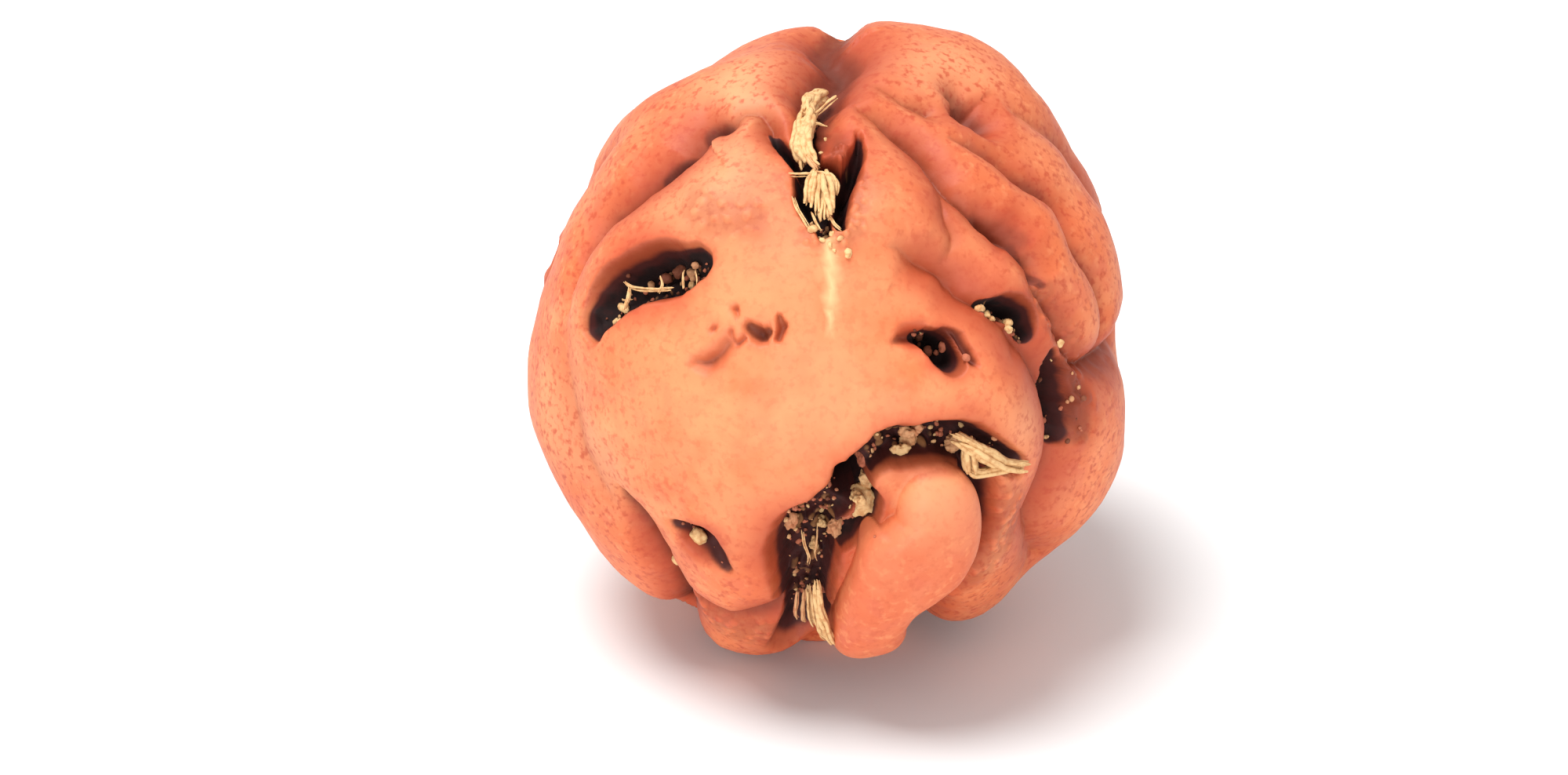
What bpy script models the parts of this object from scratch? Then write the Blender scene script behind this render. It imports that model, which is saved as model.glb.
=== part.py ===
"""A rudraksha bead, the ribbed stone of the fruit, with a trunk-like lobe on its front.

Units are metres, +Z is up and the front of the bead looks along -Y. The origin is the middle
of the small flat spot that the bead rests on. A place on the stone is a longitude and a
latitude in degrees about the core's centre: longitude 0 is the front and 90 is +X, latitude 90
is straight up. The stone is a ball whose radius changes by a formula of the direction: swells
raise it, hollows (furrows, pits and the stem cleft) cut into it, and the unseen back is split
into lobes by a rule.
"""

import math
import random
from typing import NamedTuple

import bmesh
import bpy
import numpy as np
from mathutils import Vector, noise

MM = 0.001

CORE_RADIUS = 11.0 * MM
CORE_HEIGHT = 10.6 * MM  # of the core's centre above the flat spot
BALL_SUBDIVISIONS = 7
TRUNK_SUBDIVISIONS = 5
STONE_TRIANGLES = 9000

# How a hollow's wall falls: a higher number is a steeper side and a flatter floor.
CREASE = 1.1
VALLEY = 2.0
SLOT = 5.0

# A hollow's share of the full size falls along its line to no less than this, and its width
# keeps a part that doesn't fall with it.
LEAST_SHARE = 0.05
STEADY_WIDTH = 0.35


class Swell(NamedTuple):
    """A broad rise, or a dip where the height is negative, with sizes in mm."""

    longitude: float
    latitude: float
    reach: float
    height: float


class Hollow(NamedTuple):
    """A furrow or a pit.

    The line holds (longitude, latitude, share of the full size); the sizes are in mm.
    """

    half_width: float
    depth: float
    wall: float
    line: tuple


class Strand(NamedTuple):
    """A fibre through (longitude, latitude, radius in mm), with its half thickness in mm."""

    half_thickness: float
    line: tuple


SWELLS = (
    Swell(152, 63, 2.4, 0.85),
    Swell(180, 66, 1.8, -0.20),
    Swell(120, 51, 1.8, 0.70),
    Swell(102, 29, 2.4, 0.48),
    Swell(-158, 61, 1.6, 0.30),
    Swell(-130, 62, 1.8, -0.25),
    Swell(-105, 26, 3.0, -0.45),
    Swell(-106, 37, 1.8, -0.20),
    Swell(-88, 14, 2.0, -0.20),
    Swell(-90, -2, 1.8, 0.22),
    Swell(-103, 63, 1.8, 0.10),
    Swell(-103, 47, 1.8, 0.25),
    Swell(-57, -41, 2.4, 0.30),
    Swell(-60, -54, 1.8, -0.45),
    Swell(-36, -57, 2.2, 0.90),
    Swell(52, -50, 1.7, 0.55),
    Swell(75, -27, 2.1, 0.52),
    Swell(83, -14, 1.6, 0.05),
    Swell(88, -4, 1.6, -0.35),
    Swell(92, 6, 1.8, -0.20),
    Swell(-22, 7, 4.0, 0.30),
    Swell(22, 14, 2.2, 0.50),
    Swell(35, 9, 1.8, 0.35),
    Swell(19, 52, 1.4, 0.55),
    Swell(-40, 50, 2.2, 0.35),
    Swell(58, 36, 1.4, 0.35),
    Swell(-16, -25, 1.8, 0.40),
    Swell(43, -30, 1.6, 0.30),
    Swell(0, -90, 3.0, 0.30),
)

HOLLOWS = {
    "stem_cleft": Hollow(
        1.35, 2.0, VALLEY,
        ((174, 54, 0.2), (174, 65, 0.5), (-178, 77, 0.8), (-12, 81, 1.0), (-7, 71, 1.0),
         (-3, 61, 0.95), (-1, 54, 0.6), (0, 44, 0.15)),
    ),
    "cleft_left_fork": Hollow(
        0.50, 2.1, VALLEY,
        ((-40, 66, 0.3), (-23, 62.5, 0.9), (-12, 58, 1.2), (-7, 52, 0.5)),
    ),
    "cleft_right_fork": Hollow(
        0.50, 2.3, VALLEY,
        ((2, 72, 0.4), (13, 63, 0.9), (9.5, 58.5, 1.3), (4, 51, 0.6)),
    ),
    "face_line": Hollow(
        0.35, 0.12, VALLEY,
        ((1, 44, 0.6), (0, 36, 1.0), (0, 27, 0.3)),
    ),
    "upper_left": Hollow(
        0.90, 1.3, CREASE,
        ((-36, 69.5, 0.6), (-48.8, 64.5, 0.7), (-55, 62.5, 0.9), (-57, 59, 1.0), (-54.5, 56, 1.0),
         (-56, 52.5, 1.0), (-59, 49, 1.0), (-61, 44, 0.9), (-64, 40, 0.8), (-66, 36.5, 0.8),
         (-65, 30.5, 0.6), (-64.5, 24.5, 0.4), (-63, 17.5, 0.2)),
    ),
    "upper_left_dimple": Hollow(
        0.50, 1.1, VALLEY,
        ((-57.5, 61.5, 0.7), (-54.8, 63, 1.0), (-50, 64, 0.8)),
    ),
    "upper_left_slit": Hollow(
        0.40, 0.9, VALLEY,
        ((-59, 50, 0.7), (-56.5, 53, 1.0), (-54, 56, 0.8)),
    ),
    "right_of_cleft": Hollow(
        0.70, 1.05, CREASE,
        ((20, 75, 0.3), (29.7, 71.4, 0.6), (35, 66.7, 0.9), (37.6, 63, 1.0), (38, 59.5, 1.0),
         (38.7, 55, 1.0), (39.5, 50.5, 0.9), (43, 46, 0.9), (45.5, 43.5, 1.0), (47.5, 40.5, 1.0)),
    ),
    "temple_fold": Hollow(
        0.60, 0.55, CREASE,
        ((37.5, 56, 0.5), (35, 51, 1.0), (32.8, 46.5, 1.0), (31.4, 41.5, 0.8), (27, 38.5, 0.6)),
    ),
    "brow": Hollow(
        0.80, 1.05, CREASE,
        ((15, 42.5, 0.2), (18.4, 41.4, 0.5), (21.8, 39, 0.8), (26.7, 37, 0.9), (29.6, 34, 1.0),
         (32.5, 30.7, 1.0), (37, 26.5, 1.0), (40.5, 21.5, 1.0)),
    ),
    "right_crease": Hollow(
        0.62, 0.95, CREASE,
        ((55, 60, 0.3), (63.5, 54.5, 0.7), (66, 50.5, 0.9), (67, 46, 1.0), (70.5, 41, 1.0),
         (71, 37.5, 1.0), (69, 33, 0.9), (68, 29, 0.9), (70, 24, 0.8), (71, 16, 0.7), (69, 9, 0.8)),
    ),
    "top_right_fold": Hollow(
        0.60, 0.6, CREASE,
        ((36, 82, 0.2), (50, 77, 0.5), (56, 72, 0.8), (60, 68, 1.0)),
    ),
    "top_right_dimple": Hollow(
        0.95, 1.25, VALLEY,
        ((84, 65, 0.6), (80, 62.5, 1.0), (79, 60, 0.9)),
    ),
    "right_crack": Hollow(
        0.72, 1.2, CREASE,
        ((45, 44.6, 0.9), (47, 41.7, 1.0), (49.7, 38.6, 1.0), (50.2, 35.4, 0.8), (51, 31.7, 0.8),
         (49.6, 28, 0.7), (50, 25.6, 0.7), (52.2, 22, 0.8), (54.3, 18, 0.8), (56.7, 14, 0.8),
         (60, 9.5, 0.9), (70, 6, 1.0), (84, 4, 0.8)),
    ),
    "right_crack_dimple": Hollow(
        0.75, 0.7, VALLEY,
        ((44.5, 44.5, 0.5), (48, 41, 1.0), (51.5, 37.5, 0.8)),
    ),
    "jaw": Hollow(
        0.90, 1.1, CREASE,
        ((41, 20, 1.0), (44.5, 14, 1.0), (48, 6, 1.0), (49.5, -1, 1.0), (48.5, -9, 1.0),
         (46.5, -17, 1.0), (49, -26, 0.8), (60, -38, 0.6)),
    ),
    "eye_pit_left": Hollow(
        0.84, 2.0, SLOT,
        ((-50.8, 20.5, 0.4), (-49.8, 23.5, 0.6), (-48, 27.6, 0.85), (-44.6, 31.2, 1.0),
         (-39.5, 33.6, 0.95), (-34.5, 35.2, 0.8), (-31.2, 36.8, 0.5)),
    ),
    "scar": Hollow(
        0.38, 0.45, VALLEY,
        ((-23, 21, 0.8), (-20, 23, 0.9), (-17, 26, 0.6), (-13, 27, 1.0), (-9, 28, 0.8)),
    ),
    "eye_pit_right": Hollow(
        0.46, 2.0, SLOT,
        ((18.2, 26.9, 0.3), (20.2, 26, 0.85), (22.2, 24.2, 1.05), (23.6, 21.6, 0.85)),
    ),
    "eye_crease_right": Hollow(
        0.34, 0.7, VALLEY,
        ((13, 26.6, 0.3), (15.5, 27.2, 0.8), (18.5, 27, 1.0), (20.5, 26.4, 0.8)),
    ),
    "brow_pit": Hollow(
        0.46, 2.0, SLOT,
        ((35.5, 28.9, 0.35), (38.9, 27.6, 0.85), (41.8, 26, 1.0), (43.6, 23.4, 0.95), (43.8, 20.8, 0.7)),
    ),
    "jaw_pit": Hollow(
        0.80, 2.3, SLOT,
        ((50.2, 13.2, 0.55), (51.2, 10, 0.9), (51.8, 5.8, 0.8), (52.4, 1.8, 1.0), (52.0, -2.4, 0.6)),
    ),
    "cheek_pit": Hollow(
        0.50, 0.75, VALLEY,
        ((-29.6, -12.2, 0.2), (-27, -12.8, 0.7), (-24, -14.6, 1.25), (-21.4, -17, 0.9),
         (-18.6, -20, 0.3)),
    ),
    "left_foot": Hollow(
        0.62, 1.6, CREASE,
        ((-42.5, -10, 0.2), (-40, -14, 0.6), (-38.4, -18.5, 0.8), (-37.2, -23.5, 1.0),
         (-36.2, -29, 1.0), (-36, -35, 1.0), (-46, -52, 1.0)),
    ),
    "left_side": Hollow(
        1.00, 0.4, CREASE,
        ((-62, 18, 0.3), (-58, 4, 0.9), (-52, -6, 1.0), (-44, -16, 0.7)),
    ),
    "trunk_gap_top": Hollow(
        0.72, 1.8, SLOT,
        ((36, -2, 0.2), (32.5, 1, 0.5), (29, 3.5, 0.8), (25, 5.6, 1.0), (21, 6.8, 1.05),
         (16.5, 6.8, 1.05), (12, 6.8, 0.95), (9, 5.6, 0.75), (6.8, 4.2, 0.7)),
    ),
    "trunk_gap_hole": Hollow(0.62, 3.8, SLOT, ((4.8, 2.2, 0.9), (3.9, 0.4, 1.0))),
    "trunk_gap_left": Hollow(
        1.10, 2.0, SLOT,
        ((3, -2, 0.5), (0.3, -5.8, 0.7), (-2.5, -9.7, 0.95), (-4, -14, 1.05), (-4.2, -19, 0.9),
         (-4.1, -24.7, 0.75), (-3.9, -31, 0.75), (-4, -38, 0.8), (-6, -48, 0.8)),
    ),
    "trunk_foot_right": Hollow(
        1.10, 1.6, VALLEY,
        ((24, -37, 0.5), (25, -46, 1.0), (27, -56, 1.0)),
    ),
    "trunk_gap_right": Hollow(
        0.48, 1.6, VALLEY,
        ((27, 1, 0.9), (29.2, -5, 0.8), (30.3, -11, 0.85), (30.8, -16.5, 1.0), (30, -21, 1.0),
         (28.4, -25.5, 1.0), (26, -30, 1.1), (24.5, -38, 1.0)),
    ),
    "trunk_notch": Hollow(
        0.46, 1.6, SLOT,
        ((5.5, -1, 0.7), (8, -4.5, 1.0), (8.4, -8.5, 0.9), (5.5, -12, 0.9), (2, -14, 0.6)),
    ),
    "under_chin": Hollow(
        0.65, 0.9, CREASE,
        ((-6.5, -30, 0.8), (-10, -32.5, 1.0), (-14.5, -35, 0.9), (-20, -36.5, 0.7), (-29, -34, 0.6)),
    ),
    "left_flank": Hollow(
        0.90, 0.9, CREASE,
        ((-88, 48, 0.2), (-96, 30, 0.8), (-92, 8, 1.0), (-101, -14, 0.9), (-88, -38, 0.5)),
    ),
    "left_flank_branch": Hollow(0.80, 0.9, CREASE, ((-94, 2, 0.9), (-112, -2, 1.0), (-128, 8, 0.8))),
    "left_flank_pit": Hollow(0.65, 2.0, SLOT, ((-100, 14, 0.7), (-104, 7, 1.0), (-103, 0, 0.6))),
    "right_flank": Hollow(
        0.90, 1.0, CREASE,
        ((92, 52, 0.3), (99, 34, 0.9), (96, 14, 1.0), (104, -8, 1.0), (96, -34, 0.7)),
    ),
    "right_flank_pit": Hollow(0.70, 2.0, SLOT, ((104, -3, 0.8), (107, -11, 1.0))),
}

# The stone's unevenness and the waver of its furrows: (size of the lumps, how far they reach).
LUMPS = ((4.5 * MM, 0.30 * MM), (1.8 * MM, 0.09 * MM))
WAVER = ((2.4 * MM, 0.26 * MM), (0.9 * MM, 0.08 * MM))
WAVER_SEED = 7

# The trunk: its spine from the top to the tip as (longitude, latitude, half width in mm, distance
# from the core's centre in mm), and its half thickness.
TRUNK_SPINE = (
    (18.7, 2.6, 1.45, 10.60),
    (19.5, -2.2, 1.60, 10.72),
    (20.2, -7.5, 1.66, 10.75),
    (18.9, -12.4, 1.92, 10.80),
    (16.4, -16.6, 2.06, 10.80),
    (13.8, -20.5, 1.80, 10.85),
    (11.6, -24.0, 1.48, 10.90),
    (10.0, -28.0, 1.36, 11.00),
    (9.2, -33.0, 1.40, 11.08),
    (10.0, -38.5, 1.62, 11.10),
    (12.0, -43.2, 1.42, 11.06),
)
TRUNK_HALF_THICKNESS = 1.60 * MM
TRUNK_SQUARENESS = 2.9
TRUNK_STEPS = 8  # between two points of the spine

# The lobes of the unseen back: a spiral of lobe centres, shaken a little.
BACK_LOBES = 46
BACK_SHAKE = 0.16
BACK_SEED = 11
BACK_FURROW_DEPTH = 1.05 * MM
BACK_FURROW_WIDTH = 0.85 * MM
BACK_FAINTEST = 0.15  # share of the depth that the shallowest furrow has
BACK_PIT_DEPTH = 1.5 * MM
BACK_PIT_WIDTH = 0.95 * MM
BACK_PIT_CHANCE = 1.6  # the sum of three draws above which a corner is a pit

# Where the lobes show, as a direction's Y or Z where they begin and where they are full.
BEHIND = (0.10, 0.35)
BENEATH = (-0.72, -0.87)
BELOW_CLEFT = (0.93, 0.73)
ROUND_FLAT_SPOT = (-0.985, -0.95)

CLEFT_STRANDS = (
    Strand(0.42, ((-30, 83, 9.9), (-12, 74, 10.0), (-7, 65, 9.9), (-3, 58, 10.2), (-2, 52, 10.9))),
    Strand(0.30, ((-7, 63, 10.0), (-5, 57, 10.4), (-4, 51, 11.1))),
    Strand(0.30, ((-4, 62, 10.0), (0, 57, 10.5), (1, 51, 11.2), (1, 47, 11.5))),
    Strand(0.28, ((-6, 66, 10.0), (-1, 68, 10.2), (0, 73, 10.3))),
)
GAP_STRANDS = (
    Strand(0.34, ((23, 7.5, 10.3), (27, 5.5, 10.5), (31, 2.5, 10.9), (35, -1.0, 11.6))),
    Strand(0.28, ((25, 6.5, 10.4), (29, 5.0, 10.9), (33, 3.0, 11.6))),
)
STRAND_SIDES = 6
STRAND_STEPS = 3  # between two points of its line
STRAND_TAPER = 0.55  # share of its thickness lost at the tip
STRAND_WELD = 0.01 * MM

# Colour, roughness and metallic value of each material.
STONE_FINISH = ((0.80, 0.31, 0.12, 1.0), 0.62, 0.0)
FIBRE_FINISH = ((0.86, 0.66, 0.38, 1.0), 0.75, 0.0)


def direction(longitude, latitude):
    """The unit vector from the core's centre towards a place on the stone."""
    lon, lat = math.radians(longitude), math.radians(latitude)
    return np.array(
        (math.sin(lon) * math.cos(lat), -math.cos(lon) * math.cos(lat), math.sin(lat))
    )


def unit(vectors):
    """The vectors, one a row, brought to length 1."""
    return vectors / np.linalg.norm(vectors, axis=1)[:, None]


def ramp(values, ends):
    """From 0 at the first end to 1 at the second."""
    start, full = ends
    return np.clip((values - start) / (full - start), 0.0, 1.0)


def smooth_line(knots, steps=3):
    """Points on one smooth curve through the knots, with that many steps between two."""
    knots = np.asarray(knots, float)
    if len(knots) < 3:
        return knots
    before = np.vstack((2 * knots[0] - knots[1], knots[:-1]))
    after = np.vstack((knots[1:], 2 * knots[-1] - knots[-2]))
    slopes = (after - before) / 2
    line = []
    for i in range(len(knots) - 1):
        for step in range(steps):
            t = step / steps
            line.append(
                (2 * t**3 - 3 * t**2 + 1) * knots[i]
                + (t**3 - 2 * t**2 + t) * slopes[i]
                + (3 * t**2 - 2 * t**3) * knots[i + 1]
                + (t**3 - t**2) * slopes[i + 1]
            )
    return np.array(line + [knots[-1]])


def nearest_on_line(places, line):
    """How far each unit vector is from a line on the stone, in metres, and the share there."""
    if len(line) == 1:
        gap = np.linalg.norm(places - line[0, :3], axis=1)
        return gap * CORE_RADIUS, np.full(len(places), line[0, 3])
    best = np.full(len(places), np.inf)
    share = np.zeros(len(places))
    for start, end in zip(line[:-1], line[1:]):
        step = end[:3] - start[:3]
        t = np.clip((places - start[:3]) @ step / (step @ step), 0.0, 1.0)
        gap = np.linalg.norm(places - start[:3] - t[:, None] * step, axis=1)
        nearer = gap < best
        best = np.where(nearer, gap, best)
        share = np.where(nearer, start[3] + t * (end[3] - start[3]), share)
    return best * CORE_RADIUS, share


def hollow_depth(places):
    """How deep the furrows, pits and cleft cut at each place, joined smoothly where they meet."""
    total = np.zeros(len(places))
    for hollow in HOLLOWS.values():
        knots = [(*direction(lon, lat), share) for lon, lat, share in hollow.line]
        gap, share = nearest_on_line(places, smooth_line(knots))
        share = np.maximum(share, LEAST_SHARE)
        reach = hollow.half_width * MM * (STEADY_WIDTH + (1 - STEADY_WIDTH) * share)
        total += (hollow.depth * MM * share * np.exp(-((gap / reach) ** hollow.wall))) ** 3
    return np.cbrt(total)


def swell_height(places):
    """How far the broad rises and dips lift each place."""
    total = np.zeros(len(places))
    for swell in SWELLS:
        middle = direction(swell.longitude, swell.latitude)
        gap = np.linalg.norm(places - middle, axis=1) * CORE_RADIUS
        total += swell.height * MM * np.exp(-((gap / (swell.reach * MM)) ** 2) / 2)
    return total


def lobe_centres(draw):
    """The middles of the lobes, spread evenly over the ball by a spiral and then shaken."""
    golden = math.pi * (3 - math.sqrt(5))
    centres = []
    for i in range(BACK_LOBES):
        height = 1 - (2 * i + 1) / BACK_LOBES
        ring = math.sqrt(1 - height**2)
        shake = [draw.uniform(-BACK_SHAKE, BACK_SHAKE) for _ in range(3)]
        centre = (ring * math.cos(i * golden), ring * math.sin(i * golden), height)
        centres.append(np.add(centre, shake))
    return unit(np.array(centres))


def back_lobe_depth(places):
    """Furrows between the lobes of the back, and pits where three lobes meet."""
    draw = random.Random(BACK_SEED)
    centres = lobe_centres(draw)
    strength = np.array([[draw.uniform(BACK_FAINTEST, 1.0) for _ in centres] for _ in centres])
    pitted = np.array([draw.random() for _ in centres])

    angles = np.arccos(np.clip(places @ centres.T, -1, 1))
    order = np.argsort(angles, axis=1)[:, :3]
    nearest = np.take_along_axis(angles, order, axis=1)
    border = (nearest[:, 1] - nearest[:, 0]) / 2 * CORE_RADIUS
    corner = (nearest[:, 2] - nearest[:, 0]) / 2 * CORE_RADIUS
    low, high = np.minimum(order[:, 0], order[:, 1]), np.maximum(order[:, 0], order[:, 1])
    furrow = BACK_FURROW_DEPTH * strength[low, high] * np.exp(-border / BACK_FURROW_WIDTH)
    deep = pitted[order].sum(axis=1) > BACK_PIT_CHANCE
    pit = BACK_PIT_DEPTH * deep * np.exp(-((corner / BACK_PIT_WIDTH) ** 2))
    shown = np.maximum(ramp(places[:, 1], BEHIND), ramp(places[:, 2], BENEATH))
    clear = ramp(places[:, 2], BELOW_CLEFT) * ramp(places[:, 2], ROUND_FLAT_SPOT)
    return (furrow + pit) * shown * clear


def waver(places, size, amount):
    """The places moved about by smooth noise, so that no furrow runs dead straight."""
    noise.seed_set(WAVER_SEED)
    shift = [noise.noise_vector(Vector(place) * (CORE_RADIUS / size)) for place in places]
    return unit(places + np.array(shift) * (amount / CORE_RADIUS))


def unevenness(places, size, amount):
    """Smooth lumps of about one size, in metres up or down."""
    scale = CORE_RADIUS / size
    return amount * np.array([noise.noise(Vector(place) * scale) for place in places])


def stone_radius(places):
    """The stone's radius towards each unit vector."""
    shaken = places
    for size, amount in WAVER:
        shaken = waver(shaken, size, amount)
    radius = CORE_RADIUS + swell_height(places)
    for size, amount in LUMPS:
        radius += unevenness(places, size, amount)
    return radius - hollow_depth(shaken) - back_lobe_depth(shaken)


def finish_material(name, finish):
    """A plain material from a colour, a roughness and a metallic value."""
    colour, roughness, metallic = finish
    material = bpy.data.materials.new(name)
    material.use_nodes = True
    surface = material.node_tree.nodes["Principled BSDF"]
    surface.inputs["Base Color"].default_value = colour
    surface.inputs["Roughness"].default_value = roughness
    surface.inputs["Metallic"].default_value = metallic
    return material


def new_object(name, mesh, material=None):
    """An object for a mesh, linked to the scene."""
    made = bpy.data.objects.new(name, mesh)
    bpy.context.scene.collection.objects.link(made)
    if material:
        mesh.materials.append(material)
    return made


def ball(subdivisions):
    """A ball of triangles with radius 1, and its corners as an array."""
    shape = bmesh.new()
    bmesh.ops.create_icosphere(shape, subdivisions=subdivisions, radius=1.0)
    return shape, unit(np.array([vertex.co for vertex in shape.verts]))


def ball_triangles(subdivisions):
    """How many triangles such a ball has."""
    return 20 * 4 ** (subdivisions - 1)


def mesh_from(name, shape, positions):
    """A smooth-shaded mesh with the shape's faces and new positions."""
    for vertex, position in zip(shape.verts, positions):
        vertex.co = position
    mesh = bpy.data.meshes.new(name)
    shape.to_mesh(mesh)
    shape.free()
    mesh.shade_smooth()
    return mesh


def stone_body():
    """The ball with its swells and hollows, standing at its height."""
    shape, places = ball(BALL_SUBDIVISIONS)
    positions = places * stone_radius(places)[:, None] + (0, 0, CORE_HEIGHT)
    return mesh_from("bead", shape, positions)


def trunk_body():
    """The trunk: a thick pad with rounded ends that follows its spine down the stone."""
    shape, corners = ball(TRUNK_SUBDIVISIONS)
    power = TRUNK_SQUARENESS
    corners /= (np.abs(corners) ** power).sum(axis=1)[:, None] ** (1 / power)
    across, along, out = corners.T

    knots = [(*direction(lon, lat), *sizes) for lon, lat, *sizes in TRUNK_SPINE]
    spine = smooth_line(knots, TRUNK_STEPS)
    slope = np.gradient(spine[:, :3], axis=0)
    travel = np.linspace(-1.0, 1.0, len(spine))
    at = [np.interp(-along, travel, column) for column in np.hstack((spine, slope)).T]
    middle = unit(np.array(at[:3]).T)
    half_width, radius = at[3] * MM, at[4] * MM
    side = unit(np.cross(middle, np.array(at[5:]).T))

    turn = (across * half_width / radius)[:, None]
    places = np.cos(turn) * middle + np.sin(turn) * side
    positions = places * (radius + out * TRUNK_HALF_THICKNESS)[:, None]
    return mesh_from("trunk", shape, positions + (0, 0, CORE_HEIGHT))


def helper(made):
    """Keeps a cutter or a joined shape out of the finished part."""
    made.hide_render = True
    made.display_type = "WIRE"
    return made


def floor_block():
    """A block under the rest plane, which cuts the flat spot."""
    size = 4 * CORE_RADIUS
    shape = bmesh.new()
    bmesh.ops.create_cube(shape, size=size)
    bmesh.ops.translate(shape, verts=shape.verts, vec=(0, 0, -size / 2))
    mesh = bpy.data.meshes.new("floor_block")
    shape.to_mesh(mesh)
    shape.free()
    return helper(new_object("floor_block", mesh))


def make_bead():
    """The stone and its trunk as one solid, thinned to few triangles, with a flat spot below."""
    bead = new_object("bead", stone_body(), finish_material("stone", STONE_FINISH))
    joined = bead.modifiers.new("trunk", "BOOLEAN")
    joined.operation = "UNION"
    joined.object = helper(new_object("trunk_shape", trunk_body()))
    fewer = bead.modifiers.new("fewer_faces", "DECIMATE")
    made = ball_triangles(BALL_SUBDIVISIONS) + ball_triangles(TRUNK_SUBDIVISIONS)
    fewer.ratio = STONE_TRIANGLES / made
    flat = bead.modifiers.new("flat_spot", "BOOLEAN")
    flat.operation = "DIFFERENCE"
    flat.object = floor_block()
    return bead


def strand_shape(name, strand):
    """The mesh of one tapering fibre, closed at both ends."""
    knots = [direction(lon, lat) * radius * MM for lon, lat, radius in strand.line]
    line = smooth_line(knots, STRAND_STEPS) + (0, 0, CORE_HEIGHT)
    curve = bpy.data.curves.new(name, "CURVE")
    curve.dimensions = "3D"
    curve.bevel_depth = strand.half_thickness * MM
    curve.bevel_resolution = (STRAND_SIDES - 4) // 2
    curve.use_fill_caps = True
    spline = curve.splines.new("POLY")
    spline.points.add(len(line) - 1)
    for i, (point, place) in enumerate(zip(spline.points, line)):
        point.co = (*place, 1.0)
        point.radius = 1.0 - STRAND_TAPER * (i / (len(line) - 1)) ** 2
    guide = bpy.data.objects.new(name, curve)
    bpy.context.scene.collection.objects.link(guide)
    evaluated = guide.evaluated_get(bpy.context.evaluated_depsgraph_get())
    mesh = bpy.data.meshes.new_from_object(evaluated)
    bpy.data.objects.remove(guide)
    welded = bmesh.new()
    welded.from_mesh(mesh)
    bmesh.ops.remove_doubles(welded, verts=welded.verts, dist=STRAND_WELD)
    bmesh.ops.recalc_face_normals(welded, faces=welded.faces)
    welded.to_mesh(mesh)
    welded.free()
    return mesh


def make_tuft(name, strands, material):
    """Dried fibres that hold together as one tuft, joined in one solid."""
    meshes = [strand_shape(f"{name}_{i}", strand) for i, strand in enumerate(strands)]
    tuft = new_object(name, meshes[0], material)
    others = bpy.data.collections.new(f"{name}_strands")
    for i, mesh in enumerate(meshes[1:]):
        others.objects.link(bpy.data.objects.new(f"{name}_strand_{i}", mesh))
    bpy.context.scene.collection.children.link(others)
    joined = tuft.modifiers.new("strands", "BOOLEAN")
    joined.operation = "UNION"
    joined.operand_type = "COLLECTION"
    joined.collection = others
    bpy.context.view_layer.update()
    evaluated = tuft.evaluated_get(bpy.context.evaluated_depsgraph_get())
    whole = bpy.data.meshes.new_from_object(evaluated)
    tuft.modifiers.clear()
    tuft.data = whole
    for shape in list(others.objects):
        bpy.data.objects.remove(shape)
    bpy.data.collections.remove(others)
    return tuft


def main():
    for leftover in list(bpy.data.objects):
        bpy.data.objects.remove(leftover)
    make_bead()
    fibre = finish_material("fibre", FIBRE_FINISH)
    make_tuft("cleft_fibre", CLEFT_STRANDS, fibre)
    make_tuft("gap_fibre", GAP_STRANDS, fibre)


main()
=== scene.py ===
"""The looks of a rudraksha bead: its stone, the dried fibre in its gaps, a white floor and light.

Everything is in metres in the frame of the solids: +Z up, the front along -Y, the origin in the
middle of the flat spot. A place on the stone is a longitude and a latitude in degrees about the
core's centre: longitude 0 is the front, 90 is +X, and latitude 90 is straight up.
"""

import logging
import math
import random
from collections.abc import Iterable, Mapping, Sequence
from dataclasses import dataclass, field
from enum import Enum
from typing import Any

import bmesh
import bpy
import numpy as np
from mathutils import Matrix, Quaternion, Vector, noise
from mathutils.bvhtree import BVHTree

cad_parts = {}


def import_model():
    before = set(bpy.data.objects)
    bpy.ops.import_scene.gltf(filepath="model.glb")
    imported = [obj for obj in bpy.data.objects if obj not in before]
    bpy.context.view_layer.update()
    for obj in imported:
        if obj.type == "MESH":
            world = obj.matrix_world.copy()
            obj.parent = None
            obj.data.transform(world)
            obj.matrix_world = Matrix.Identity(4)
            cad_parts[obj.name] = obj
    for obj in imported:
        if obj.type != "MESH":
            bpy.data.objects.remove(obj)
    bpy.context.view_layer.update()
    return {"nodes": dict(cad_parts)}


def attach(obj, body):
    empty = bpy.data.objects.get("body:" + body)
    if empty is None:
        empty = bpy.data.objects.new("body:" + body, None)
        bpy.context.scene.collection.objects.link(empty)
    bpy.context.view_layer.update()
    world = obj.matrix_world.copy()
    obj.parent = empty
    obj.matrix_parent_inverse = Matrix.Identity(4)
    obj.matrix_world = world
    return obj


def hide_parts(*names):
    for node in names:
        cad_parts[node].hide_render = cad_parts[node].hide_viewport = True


LOG = logging.getLogger("rudraksha")
MM = 0.001

Knot = tuple[float, float, float]
Colour = tuple[float, float, float, float]


class Wall(Enum):
    """How a hollow's side falls: a higher number is a steeper side and a flatter floor."""

    CREASE = 1.1
    VALLEY = 2.0
    CLEFT = 3.0
    SLOT = 5.0


@dataclass(frozen=True)
class Swell:
    """A broad rise, or a dip where the height is negative, with sizes in mm."""

    longitude: float
    latitude: float
    reach: float
    height: float


@dataclass(frozen=True)
class Hollow:
    """A furrow or a pit. Sizes are in mm, its stains and painted shade are from 0 to 1.

    The line holds (longitude, latitude, share of the full size). Dark is how dark the floor is
    painted, as maroon stain and painted shade; blush how red and dark the stone is painted around
    it, as red stain and painted shade; and crease how brown its bottom line is, as brown stain and
    painted shade.
    """

    half_width: float
    depth: float
    wall: Wall
    line: tuple[Knot, ...]
    dark: float = 0.0
    blush: float = 0.0
    crease: float = 0.0


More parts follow.
